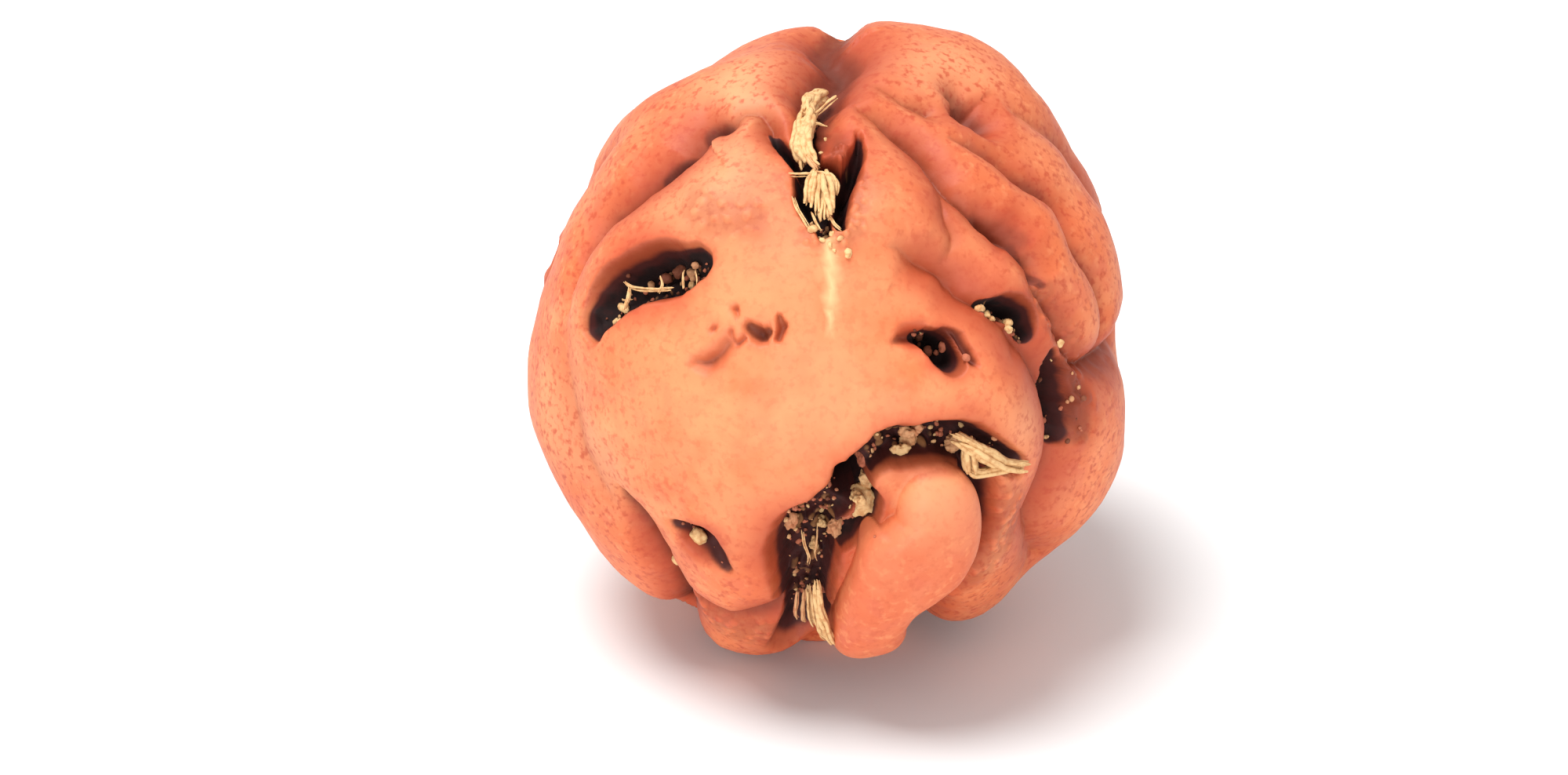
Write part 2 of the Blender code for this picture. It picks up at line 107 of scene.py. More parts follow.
@dataclass(frozen=True)
class Pebbles:
    """A patch of small pebbly knobs along a line of (longitude, latitude). Sizes are in mm.

    Husk, from 0 to 1, is how far the knobs take the olive brown of dried pulp.
    """

    half_width: float
    grain: float
    height: float
    line: tuple[tuple[float, float], ...]
    husk: float = 0.0


@dataclass(frozen=True)
class Dot:
    """A small crumb or lump lying on the stone: its place, its size in mm, and how brown it is.

    The size is (along, across, high), the turn is in degrees about the outward direction, and
    the lift says how far its middle stands off the stone as a share of its height.
    """

    longitude: float
    latitude: float
    size: tuple[float, float, float]
    turn: float = 0.0
    tint: float = 0.0
    lift: float = 0.2


@dataclass(frozen=True)
class Strand:
    """A bundle of fibre: its half thickness in mm, how many fibrils it has, and its line.

    The line holds (longitude, latitude, height), with the height in mm above the core's sphere.
    A higher tint is browner.
    """

    half_thickness: float
    fibrils: int
    line: tuple[Knot, ...]
    tint: float = 0.0


# Broad rises and dips of the stone.
SWELLS = (
    Swell(152, 63, 2.4, 0.85),
    Swell(180, 66, 1.8, -0.20),
    Swell(120, 51, 1.8, 0.70),
    Swell(102, 29, 2.4, 0.48),
    Swell(-158, 61, 1.6, 0.30),
    Swell(-130, 62, 1.8, -0.25),
    Swell(-105, 26, 3.0, -0.45),
    Swell(-106, 37, 1.8, -0.20),
    Swell(-88, 14, 2.0, -0.20),
    Swell(-90, -2, 1.8, 0.22),
    Swell(-103, 63, 1.8, 0.10),
    Swell(-103, 47, 1.8, 0.25),
    Swell(-57, -41, 2.4, 0.30),
    Swell(-60, -54, 1.8, -0.45),
    Swell(-36, -57, 2.2, 0.90),
    Swell(52, -50, 1.7, 0.55),
    Swell(75, -27, 2.1, 0.52),
    Swell(83, -14, 1.6, 0.05),
    Swell(88, -4, 1.6, -0.35),
    Swell(92, 6, 1.8, -0.20),
    Swell(-22, 7, 4.0, 0.30),
    Swell(22, 14, 2.2, 0.50),
    Swell(35, 9, 1.8, 0.35),
    Swell(19, 52, 1.4, 0.55),
    Swell(-40, 50, 2.2, 0.35),
    Swell(58, 36, 1.4, 0.35),
    Swell(-16, -25, 1.8, 0.40),
    Swell(43, -30, 1.6, 0.30),
    Swell(0, -90, 3.0, 0.30),
)

# Furrows and pits by name.
HOLLOWS = {
    "stem_valley": Hollow(
        1.10, 1.5, Wall.VALLEY,
        ((174, 54, 0.2), (174, 65, 0.5), (-178, 77, 0.9), (160, 83, 1.0), (-4, 84, 1.0),
         (-9, 78, 1.0), (-7, 72, 0.7), (-6, 65, 0.5)),
        dark=0.26, blush=0.9, crease=1.0,
    ),
    "stem_slot": Hollow(
        0.52, 2.3, Wall.SLOT,
        ((-12, 79, 0.15), (-11, 75, 0.25), (-10, 70, 0.4), (-8.5, 65, 0.6), (-6.5, 60, 0.9),
         (-4, 55.5, 1.0), (-2.3, 51, 0.85), (-1, 47, 0.4)),
        dark=0.9, blush=0.7,
    ),
    "cleft_left_fork": Hollow(
        0.27, 1.8, Wall.CLEFT,
        ((-30, 67.6, 0.1), (-24.5, 66.2, 0.35), (-19.5, 64.4, 0.7), (-14.5, 61.8, 1.0),
         (-10, 59, 1.15), (-7, 57, 0.8)),
        dark=0.9, blush=0.8, crease=0.8,
    ),
    "left_fork_crease": Hollow(
        0.65, 0.8, Wall.CREASE,
        ((-48.8, 64, 0.9), (-45.6, 68, 0.6), (-36, 69.5, 0.7), (-27, 67.5, 1.0), (-20, 64, 0.8)),
        blush=0.7, crease=0.8,
    ),
    "cleft_right_fork": Hollow(
        0.25, 2.0, Wall.CLEFT,
        ((13.5, 67.5, 0.1), (12.8, 64.5, 0.45), (10.8, 61, 0.9), (7.9, 57, 1.15), (5.2, 53.8, 1.1),
         (3.8, 51, 0.9), (3.4, 48, 0.5)),
        dark=0.85, blush=0.9, crease=0.8,
    ),
    "under_cleft_lump": Hollow(
        0.27, 1.8, Wall.CLEFT,
        ((-4, 59.6, 0.9), (1.5, 58.8, 1.0), (6.5, 57.2, 1.0)),
        dark=0.8, blush=0.9,
    ),
    "cleft_lump": Hollow(
        0.55, 0.10, Wall.VALLEY,
        ((2.5, 68.5, 0.7), (4.5, 65, 1.0), (3, 61.5, 0.9)),
        dark=0.14, blush=1.0, crease=0.6,
    ),
    "beside_fan": Hollow(
        0.22, 1.0, Wall.CLEFT,
        ((-8.6, 56, 0.9), (-7.8, 54, 1.0), (-6.6, 51, 1.0), (-5.1, 48, 0.5)),
        dark=1.0, blush=0.5, crease=0.6,
    ),
    "face_line": Hollow(
        0.35, 0.14, Wall.VALLEY,
        ((0.5, 43, 0.6), (1, 36, 1.0), (0.3, 27, 0.3)),
    ),
    "upper_left": Hollow(
        0.90, 1.3, Wall.CREASE,
        ((-48.8, 64.5, 0.5), (-55, 62.5, 0.9), (-57, 59, 1.0), (-54.5, 56, 1.0), (-56, 52.5, 1.0),
         (-59, 49, 1.0), (-61, 44, 0.9), (-64, 40, 0.8), (-66, 36.5, 0.8), (-65, 30.5, 0.6),
         (-64.5, 24.5, 0.4), (-63, 17.5, 0.2)),
        blush=0.8, crease=0.8,
    ),
    "upper_left_dimple": Hollow(
        0.50, 1.1, Wall.VALLEY,
        ((-57.5, 61.5, 0.7), (-54.8, 63, 1.0), (-50, 64, 0.8)),
        dark=0.30, blush=0.8, crease=0.9,
    ),
    "upper_left_slit": Hollow(
        0.40, 0.9, Wall.VALLEY,
        ((-59, 50, 0.7), (-56.5, 53, 1.0), (-54, 56, 0.8)),
        dark=0.32, blush=0.8, crease=0.9,
    ),
    "right_of_cleft": Hollow(
        0.70, 1.05, Wall.CREASE,
        ((20, 75, 0.3), (29.7, 71.4, 0.6), (35, 66.7, 0.9), (37.6, 63, 1.0), (38, 59.5, 1.0),
         (38.7, 55, 1.0), (39.5, 50.5, 0.9), (43, 46, 0.9), (45.5, 43.5, 1.0), (47.5, 40.5, 1.0)),
        blush=0.7, crease=0.8,
    ),
    "temple_fold": Hollow(
        0.60, 0.55, Wall.CREASE,
        ((37.5, 56, 0.5), (35, 51, 1.0), (32.8, 46.5, 1.0), (31.4, 41.5, 0.8), (27, 38.5, 0.6)),
        blush=0.6, crease=0.5,
    ),
    "brow": Hollow(
        0.80, 1.05, Wall.CREASE,
        ((15, 42.5, 0.2), (18.4, 41.4, 0.5), (21.8, 39, 0.8), (26.7, 37, 0.9), (29.6, 34, 1.0),
         (32.5, 30.7, 1.0), (37, 26.5, 1.0), (40.5, 21.5, 1.0)),
        blush=0.8, crease=0.6,
    ),
    "right_crease": Hollow(
        0.62, 0.95, Wall.CREASE,
        ((55, 60, 0.3), (63.5, 54.5, 0.7), (66, 50.5, 0.9), (67, 46, 1.0), (70.5, 41, 1.0),
         (71, 37.5, 1.0), (69, 33, 0.9), (68, 29, 0.9), (70, 24, 0.8), (71, 16, 0.7), (69, 9, 0.8)),
        blush=0.6, crease=0.7,
    ),
    "top_right_fold": Hollow(
        0.60, 0.6, Wall.CREASE,
        ((36, 82, 0.2), (50, 77, 0.5), (56, 72, 0.8), (60, 68, 1.0)),
        blush=0.5, crease=0.6,
    ),
    "top_right_dimple": Hollow(
        0.95, 1.25, Wall.VALLEY,
        ((84, 65, 0.6), (80, 62.5, 1.0), (79, 60, 0.9)),
        dark=0.24, blush=0.9, crease=0.9,
    ),
    "right_crack": Hollow(
        0.72, 1.2, Wall.CREASE,
        ((45, 44.6, 0.9), (47, 41.7, 1.0), (49.7, 38.6, 1.0), (50.2, 35.4, 0.8), (51, 31.7, 0.8),
         (49.6, 28, 0.7), (50, 25.6, 0.7), (52.2, 22, 0.8), (54.3, 18, 0.8), (56.7, 14, 0.8),
         (60, 9.5, 0.9), (70, 6, 1.0), (84, 4, 0.8)),
        blush=0.8, crease=0.9,
    ),
    "right_crack_dimple": Hollow(
        0.75, 0.7, Wall.VALLEY,
        ((44.5, 44.5, 0.5), (48, 41, 1.0), (51.5, 37.5, 0.8)),
        dark=0.20, blush=1.0, crease=0.8,
    ),
    "right_crack_split": Hollow(
        0.20, 0.55, Wall.CLEFT,
        ((51, 37, 0.6), (50.2, 33.5, 0.8), (50.4, 30.5, 1.0), (51.6, 27, 0.8)),
        dark=0.26, blush=0.9, crease=1.0,
    ),
    "jaw": Hollow(
        0.90, 1.1, Wall.CREASE,
        ((41, 20, 1.0), (44.5, 14, 1.0), (48, 6, 1.0), (49.5, -1, 1.0), (48.5, -9, 1.0),
         (46.5, -17, 1.0), (49, -26, 0.8), (60, -38, 0.6)),
        blush=0.8, crease=0.6,
    ),
    "eye_pit_left": Hollow(
        0.84, 2.0, Wall.SLOT,
        ((-50.8, 20.5, 0.4), (-49.8, 23.5, 0.6), (-48, 27.6, 0.85), (-44.6, 31.2, 1.0),
         (-39.5, 33.6, 0.95), (-34.5, 35.2, 0.8), (-31.2, 36.8, 0.5)),
        dark=1.0, blush=1.0,
    ),
    "scar_fold": Hollow(
        0.30, 0.40, Wall.VALLEY,
        ((-24.5, 20.6, 0.7), (-22, 21, 1.0), (-20.1, 22.8, 0.9), (-18.6, 24.8, 0.8)),
        dark=0.04, blush=0.55, crease=0.9,
    ),
    "scar_hook": Hollow(
        0.13, 0.25, Wall.VALLEY,
        ((-18.6, 26.8, 0.8), (-17, 25.2, 1.0), (-15.5, 26.3, 0.9)),
        dark=0.04, blush=0.55, crease=0.6,
    ),
    "scar_pit": Hollow(
        0.26, 0.60, Wall.CLEFT,
        ((-14.8, 28, 0.6), (-12.8, 27.2, 1.0), (-11.6, 27.6, 0.6)),
        dark=0.30, blush=0.55, crease=0.8,
    ),
    "scar_nick": Hollow(
        0.15, 0.45, Wall.CLEFT,
        ((-9.6, 30.4, 0.6), (-8.7, 28.4, 1.0), (-9.4, 26.9, 0.8)),
        dark=0.20, blush=0.55, crease=0.6,
    ),
    "scar_upper_dot": Hollow(
        0.16, 0.30, Wall.VALLEY, ((-18.6, 30.6, 0.9), (-18, 29.6, 0.7)),
        dark=0.04, blush=0.55, crease=0.6,
    ),
    "scar_side_dot": Hollow(
        0.15, 0.22, Wall.VALLEY, ((-22.6, 26.6, 0.9),),
        dark=0.04, blush=0.55, crease=0.6,
    ),
    "eye_pit_right": Hollow(
        0.46, 2.0, Wall.SLOT,
        ((18.2, 26.9, 0.3), (20.2, 26, 0.85), (22.2, 24.2, 1.05), (23.6, 21.6, 0.85)),
        dark=1.0, blush=1.0,
    ),
    "eye_crease_right": Hollow(
        0.34, 0.7, Wall.VALLEY,
        ((13, 26.6, 0.3), (15.5, 27.2, 0.8), (18.5, 27, 1.0), (20.5, 26.4, 0.8)),
        dark=0.22, blush=0.9, crease=0.8,
    ),
    "eye_fold_right": Hollow(
        0.22, 0.6, Wall.VALLEY,
        ((23.5, 27, 0.5), (26.4, 24.4, 1.0), (27.6, 20.1, 0.9)),
        dark=0.3, blush=0.7, crease=0.8,
    ),
    "brow_pit": Hollow(
        0.46, 2.0, Wall.SLOT,
        ((35.5, 28.9, 0.35), (38.9, 27.6, 0.85), (41.8, 26, 1.0), (43.6, 23.4, 0.95),
         (43.8, 20.8, 0.7)),
        dark=1.0, blush=1.0,
    ),
    "jaw_pit": Hollow(
        0.80, 2.3, Wall.SLOT,
        ((50.2, 13.2, 0.55), (51.2, 10, 0.9), (51.8, 5.8, 0.8), (52.4, 1.8, 1.0),
         (52.0, -2.4, 0.6)),
        dark=0.78, blush=1.0,
    ),
    "jaw_pit_rim": Hollow(
        0.9, 0.5, Wall.VALLEY,
        ((55.0, 12, 0.6), (57.0, 5, 0.9), (56.0, -3, 0.6)),
        dark=0.20, blush=1.0, crease=1.0,
    ),
    "cheek_pit": Hollow(
        0.50, 0.75, Wall.CLEFT,
        ((-29.6, -12.2, 0.2), (-27, -12.8, 0.7), (-24, -14.6, 1.25), (-21.4, -17, 0.9),
         (-18.6, -20, 0.3)),
        dark=0.42, blush=1.0, crease=1.0,
    ),
    "left_foot": Hollow(
        0.62, 1.6, Wall.CREASE,
        ((-42.5, -10, 0.2), (-40, -14, 0.6), (-38.4, -18.5, 0.8), (-37.2, -23.5, 1.0),
         (-36.2, -29, 1.0), (-36, -35, 1.0), (-46, -52, 1.0)),
        dark=0.3, blush=0.9, crease=0.9,
    ),
    "left_side": Hollow(
        1.00, 0.4, Wall.CREASE,
        ((-62, 18, 0.3), (-58, 4, 0.9), (-52, -6, 1.0), (-44, -14, 0.7)),
        blush=0.4, crease=0.3,
    ),
    "trunk_gap_top": Hollow(
        0.72, 1.8, Wall.SLOT,
        ((36, -2, 0.2), (32.5, 1, 0.5), (29, 3.5, 0.8), (25, 5.6, 1.0), (21, 6.8, 1.05),
         (16.5, 6.8, 1.05), (12, 6.8, 0.95), (9, 5.6, 0.75), (6.8, 4.2, 0.7)),
        dark=0.78, blush=0.8,
    ),
    "trunk_gap_hole": Hollow(
        0.70, 3.8, Wall.SLOT,
        ((4.6, 1.4, 0.9), (3.6, -2, 1.0)),
        dark=1.0, blush=0.8,
    ),
    "trunk_gap_left": Hollow(
        1.10, 2.0, Wall.SLOT,
        ((3, -2, 0.5), (0.3, -5.8, 0.7), (-2.5, -9.7, 0.95), (-4, -14, 1.05), (-4.2, -19, 0.9),
         (-4.1, -24.7, 0.75), (-3.9, -31, 0.75), (-4, -38, 0.8), (-6, -48, 0.8)),
        dark=0.74, blush=1.0,
    ),
    "trunk_foot_right": Hollow(
        1.10, 1.6, Wall.VALLEY,
        ((24, -37, 0.5), (25, -46, 1.0), (27, -56, 1.0)),
        dark=0.4, blush=0.7, crease=0.6,
    ),
    "trunk_gap_right": Hollow(
        0.48, 1.6, Wall.VALLEY,
        ((27, 1, 0.9), (29.2, -5, 0.8), (30.3, -11, 0.85), (30.8, -16.5, 1.0), (30, -21, 1.0),
         (28.4, -25.5, 1.0), (26, -30, 1.1), (24.5, -38, 1.0)),
        dark=0.5, blush=0.9, crease=0.9,
    ),
    "trunk_notch": Hollow(
        0.46, 1.6, Wall.SLOT,
        ((5.5, -1, 0.7), (7.8, -4.5, 1.0), (7.5, -8.3, 0.9), (4.4, -11.6, 0.8), (2, -14, 0.6)),
        dark=0.9, blush=1.0,
    ),
    "under_chin": Hollow(
        0.65, 0.9, Wall.CREASE,
        ((-6.5, -30, 0.8), (-10, -32.5, 1.0), (-14.5, -35, 0.9), (-20, -36.5, 0.7),
         (-29, -34, 0.6)),
        dark=0.2, blush=0.9, crease=0.8,
    ),
    "left_flank": Hollow(
        0.90, 0.9, Wall.CREASE,
        ((-88, 48, 0.2), (-96, 30, 0.8), (-92, 8, 1.0), (-101, -14, 0.9), (-88, -38, 0.5)),
        blush=0.7, crease=0.7,
    ),
    "left_flank_branch": Hollow(
        0.80, 0.9, Wall.CREASE,
        ((-94, 2, 0.9), (-112, -2, 1.0), (-128, 8, 0.8)),
        blush=0.7, crease=0.7,
    ),
    "left_flank_pit": Hollow(
        0.65, 2.0, Wall.SLOT,
        ((-100, 14, 0.7), (-104, 7, 1.0), (-103, 0, 0.6)),
        dark=1.0, blush=1.0,
    ),
    "right_flank": Hollow(
        0.90, 1.0, Wall.CREASE,
        ((92, 52, 0.3), (99, 34, 0.9), (96, 14, 1.0), (104, -8, 1.0), (96, -34, 0.7)),
        blush=0.7, crease=0.7,
    ),
    "right_flank_pit": Hollow(
        0.70, 2.0, Wall.SLOT,
        ((104, -3, 0.8), (107, -11, 1.0)),
        dark=1.0, blush=1.0,
    ),
}

# Paler places of the stone, and deeper ones where the height is negative.
TONES = (
    Swell(-52, -3, 2.2, 0.75),
    Swell(-54, 76, 2.0, 0.90),
    Swell(94, 68, 1.8, 0.60),
    Swell(-41, 49, 1.8, 0.50),
    Swell(37, 8, 1.2, 0.55),
    Swell(36, -22, 1.6, 0.30),
    Swell(-31, -48, 1.5, 0.30),
    Swell(19, 0, 1.3, 0.55),
    Swell(150, 20, 3.0, 0.60),
    Swell(-130, -10, 3.0, 0.60),
    Swell(-45, 18, 1.6, -0.60),
    Swell(61, 38, 1.8, -0.60),
    Swell(-47, -27, 1.7, -0.90),
    Swell(0, 68, 1.6, -0.50),
    Swell(110, -20, 2.6, -0.60),
    Swell(-170, 45, 2.6, -0.60),
)

# Pebbly patches, first on the lobes and then on the floors of the gap and the pits.
PEBBLED = (
    Pebbles(0.75, 0.34, 0.11, ((50, 27), (52.2, 22), (54.3, 18), (56.7, 14), (58.7, 9.7))),
    Pebbles(1.10, 0.42, 0.07, ((33, -9), (37, -15), (35, -21), (31, -28))),
    Pebbles(0.60, 0.30, 0.08, ((-3, 45.5), (4, 44.5))),
    Pebbles(0.45, 0.30, 0.06, ((9, 56), (8, 50), (7, 46))),
    Pebbles(1.00, 0.40, 0.06, ((-30, -38), (-22, -42), (-15, -42))),
    Pebbles(0.80, 0.45, 0.05, ((-35, 47), (-28, 46), (-20, 47))),
    Pebbles(0.95, 0.52, 0.42, ((-1.8, -9.6), (-2.8, -12), (-3.5, -16), (-4, -21)), husk=0.9),
    Pebbles(0.80, 0.45, 0.30, ((-4, -24), (-4, -31), (-4, -38)), husk=0.6),
    Pebbles(0.60, 0.50, 0.40, ((10, 6.2), (13, 7), (17, 7), (20, 6.4)), husk=0.9),
    Pebbles(0.55, 0.45, 0.30, ((23, 6), (26, 4.5), (29, 3)), husk=0.5),
    Pebbles(0.60, 0.40, 0.30, ((-48, 26), (-44, 31), (-38, 34), (-33, 35.5)), husk=0.6),
    Pebbles(0.40, 0.38, 0.25, ((37, 28), (42, 25.5), (43.6, 22)), husk=0.7),
    Pebbles(0.45, 0.38, 0.25, ((50, 11), (51, 5), (51, 0)), husk=0.3),
    Pebbles(0.80, 0.60, 0.22, ((55, 11), (57, 5), (56, -2)), husk=0.25),
    Pebbles(0.35, 0.30, 0.20, ((4, 63), (6, 61)), husk=0.5),
)

# Fibre in the cleft at the top.
CLEFT_STRANDS = (
    Strand(0.30, 20, ((-4, 83, -0.85), (-11, 81, -0.65), (-14.5, 78, -0.45), (-13.3, 74.8, -0.3),
                      (-11.3, 72, -0.25))),
    Strand(0.30, 20, ((-13, 73.2, -0.35), (-12.2, 70.2, -0.2), (-11.6, 67.4, -0.15),
                      (-11, 64.7, -0.15), (-8.7, 62.4, -0.2), (-6.5, 60.9, -0.3))),
    Strand(0.16, 8, ((-9.6, 63.2, -0.25), (-6.5, 61, -0.2), (-3.6, 59.2, -0.2)), tint=0.22),
    Strand(0.09, 4, ((-9, 72.5, -0.25), (-5, 73.3, -0.1), (0.6, 75.1, 0.0), (7, 76.6, 0.0))),
    Strand(0.07, 3, ((-9, 69.7, -0.2), (-5.8, 69.9, -0.1), (-0.6, 69, -0.05))),
    Strand(0.08, 3, ((-12.2, 56.2, 0.3), (-8.6, 56.5, 0.2), (-5.1, 57, 0.1), (-2.4, 57.8, 0.0))),
    Strand(0.18, 6, ((-3.7, 58.5, -0.15), (-5, 56.5, 0.0), (-5.4, 53.7, 0.1), (-5.5, 50.6, 0.15))),
    Strand(0.15, 5, ((-2.6, 58.2, -0.1), (-2.7, 55.4, 0.05), (-3.2, 52.2, 0.1), (-3, 49.1, 0.2))),
    Strand(0.24, 8, ((-2.1, 57.5, 0.0), (-1, 54.9, 0.1), (0, 52.4, 0.15), (0.6, 50.3, 0.2),
                     (0.8, 48.2, 0.25))),
    Strand(0.15, 5, ((-3.1, 58.0, 0.0), (1, 57.2, 0.1), (2.9, 55.6, 0.1), (2.5, 53.4, 0.05))),
    Strand(0.14, 5, ((-1, 56.5, 0.0), (-0.8, 53, 0.1), (-1.5, 50, 0.15), (-1.2, 47.2, 0.2))),
    Strand(0.08, 4, ((-9.8, 52.2, 0.25), (-8.3, 50, 0.25), (-6.5, 48.2, 0.25), (-4.4, 46, 0.25))),
    Strand(0.07, 3, ((-4.5, 49.5, 0.1), (-3.2, 47.4, 0.2), (-1.6, 45.6, 0.25))),
    Strand(0.07, 3, ((0.6, 49, 0.2), (2, 47.2, 0.25), (3.6, 45.9, 0.3))),
)

# The splinter of dried pulp above and to the right of the trunk.
SPLINTER_STRANDS = (
    Strand(0.27, 16, ((23.3, 7.6, 0.1), (24.5, 7, 0.3), (25.9, 5.8, 0.42), (27.5, 4.5, 0.5),
                      (29.6, 2.9, 0.5), (31.9, 0.9, 0.5), (34.5, -0.2, 0.55), (36.6, -0.6, 0.6))),
    Strand(0.20, 10, ((25.3, 1.6, 0.25), (26.6, 0.2, 0.4), (28.4, -0.1, 0.45), (30.6, -0.2, 0.5),
                     (33.2, -0.4, 0.5), (35.6, -0.7, 0.55))),
    Strand(0.22, 10, ((25.6, 6.2, 0.3), (25.6, 3.7, 0.3), (25.9, 0.8, 0.35))),
)

# Fibre in the gap left of the trunk.
GAP_STRANDS = (
    Strand(0.18, 10, ((-1.6, -22.5, 0.0), (-1.2, -25.5, 0.4), (-0.4, -29, 0.7), (0.8, -33, 0.9),
                      (2.4, -37.5, 0.9))),
    Strand(0.14, 7, ((-2.4, -24, 0.0), (-2.2, -28, 0.3), (-1.6, -32, 0.55), (-0.6, -36, 0.65),
                     (0.6, -39.5, 0.6))),
    Strand(0.11, 5, ((-3.4, -25, -0.1), (-3.4, -29, 0.15), (-3.0, -33, 0.3), (-2.2, -37, 0.3)),
           tint=0.12),
    Strand(0.10, 5, ((-4.2, -27, -0.2), (-4.6, -31, 0.0), (-4.8, -35, 0.1), (-4.4, -38.5, 0.0)),
           tint=0.25),
    Strand(0.08, 4, ((-5.6, -28, -0.3), (-6.2, -32, -0.1), (-6.6, -36, -0.1), (-6.4, -40, -0.2)),
           tint=0.30),
    Strand(0.06, 3, ((-4.8, -13, -0.8), (-4.2, -16, -0.6), (-3.4, -19.5, -0.6), (-3.6, -22, -0.6)),
           tint=0.2),
    Strand(0.06, 3, ((-1.8, -12, -0.8), (-2.0, -15, -0.6), (-2.4, -18.5, -0.6), (-2.0, -21, -0.6)),
           tint=0.15),
)

# Threads in the left pit.
PIT_THREADS = (
    Strand(0.08, 4, ((-48.6, 29.6, -0.25), (-45, 29.4, -0.15), (-41, 30.1, -0.15),
                     (-37.6, 31, -0.1), (-34, 32, 0.0))),
    Strand(0.09, 4, ((-45.9, 29.3, -0.2), (-44.6, 27.5, -0.1), (-44.0, 25.0, 0.0))),
    Strand(0.06, 3, ((-39.6, 33.4, -0.3), (-37.6, 32.1, -0.15), (-37.4, 30.2, -0.05))),
    Strand(0.06, 3, ((-34.3, 35.6, -0.3), (-33.0, 34.0, -0.1), (-31.6, 32.2, 0.0))),
    Strand(0.05, 2, ((-30.8, 36.2, -0.2), (-29.2, 34.7, -0.05), (-28.6, 33.2, 0.0))),
    Strand(0.05, 2, ((-47.6, 26.4, -0.3), (-45.8, 26.8, -0.2), (-43.8, 27.6, -0.1))),
)

# Crumbs at the foot of the cleft.
CLEFT_CRUMBS = (
    Dot(-3.6, 46.4, (0.30, 0.20, 0.20)),
    Dot(-1.9, 45.5, (0.22, 0.18, 0.16), turn=30),
    Dot(-0.3, 46.3, (0.26, 0.20, 0.20), tint=0.15),
    Dot(1.2, 45.4, (0.20, 0.26, 0.18)),
    Dot(2.8, 46.8, (0.32, 0.22, 0.20), turn=40),
    Dot(-1.1, 44.2, (0.24, 0.18, 0.16), turn=-30, tint=0.1),
    Dot(0.8, 43.4, (0.18, 0.24, 0.18)),
    Dot(3.0, 44.3, (0.26, 0.18, 0.16), turn=20, tint=0.2),
    Dot(4.9, 41.6, (0.22, 0.30, 0.16)),
    Dot(1.8, 42.5, (0.16, 0.16, 0.12), tint=0.1),
    Dot(3.9, 46.4, (0.22, 0.16, 0.14), turn=60),
    Dot(-4.2, 48.0, (0.14, 0.22, 0.14)),
    Dot(-1.0, 68.0, (0.10, 0.12, 0.10)),
    Dot(-3.0, 64.0, (0.14, 0.12, 0.12)),
)

# Lumps in the gap round the trunk.
GAP_LUMPS = (
    Dot(7.2, -7.4, (0.95, 1.15, 0.95), tint=0.08, lift=0.35),
    Dot(6.0, -5.6, (0.50, 0.55, 0.60), tint=0.04, lift=0.40),
    Dot(8.3, -3.2, (0.45, 0.60, 0.55), tint=0.20, lift=0.30),
    Dot(6.2, -8.8, (0.60, 0.55, 0.50), tint=0.28, lift=0.25),
    Dot(7.5, 1.2, (0.40, 0.75, 0.70), tint=0.62, lift=0.30),
    Dot(-0.8, -15.2, (0.32, 0.36, 0.45), tint=0.06, lift=0.90),
    Dot(-2.6, -19.6, (0.28, 0.36, 0.45), tint=0.12, lift=0.90),
    Dot(4.8, -10.7, (0.60, 0.50, 0.50), tint=0.45, lift=0.30),
    Dot(2.0, -14.5, (0.45, 0.75, 0.50), tint=0.32, lift=0.35),
    Dot(-7.3, -13.6, (0.45, 0.60, 0.45), tint=0.34, lift=0.30),
    Dot(16.1, 7.6, (0.55, 0.50, 0.60), tint=0.30, lift=0.45),
    Dot(18.0, 8.0, (0.50, 0.50, 0.55), tint=0.34, lift=0.40),
    Dot(16.8, 5.2, (0.55, 0.50, 0.55), tint=0.26, lift=0.40),
    Dot(14.5, 4.4, (0.50, 0.40, 0.45), tint=0.10, lift=0.45),
    Dot(25.2, 3.6, (0.60, 0.60, 0.65), tint=0.28, lift=0.45),
    Dot(26.6, 4.3, (0.45, 0.45, 0.50), tint=0.30, lift=0.40),
)

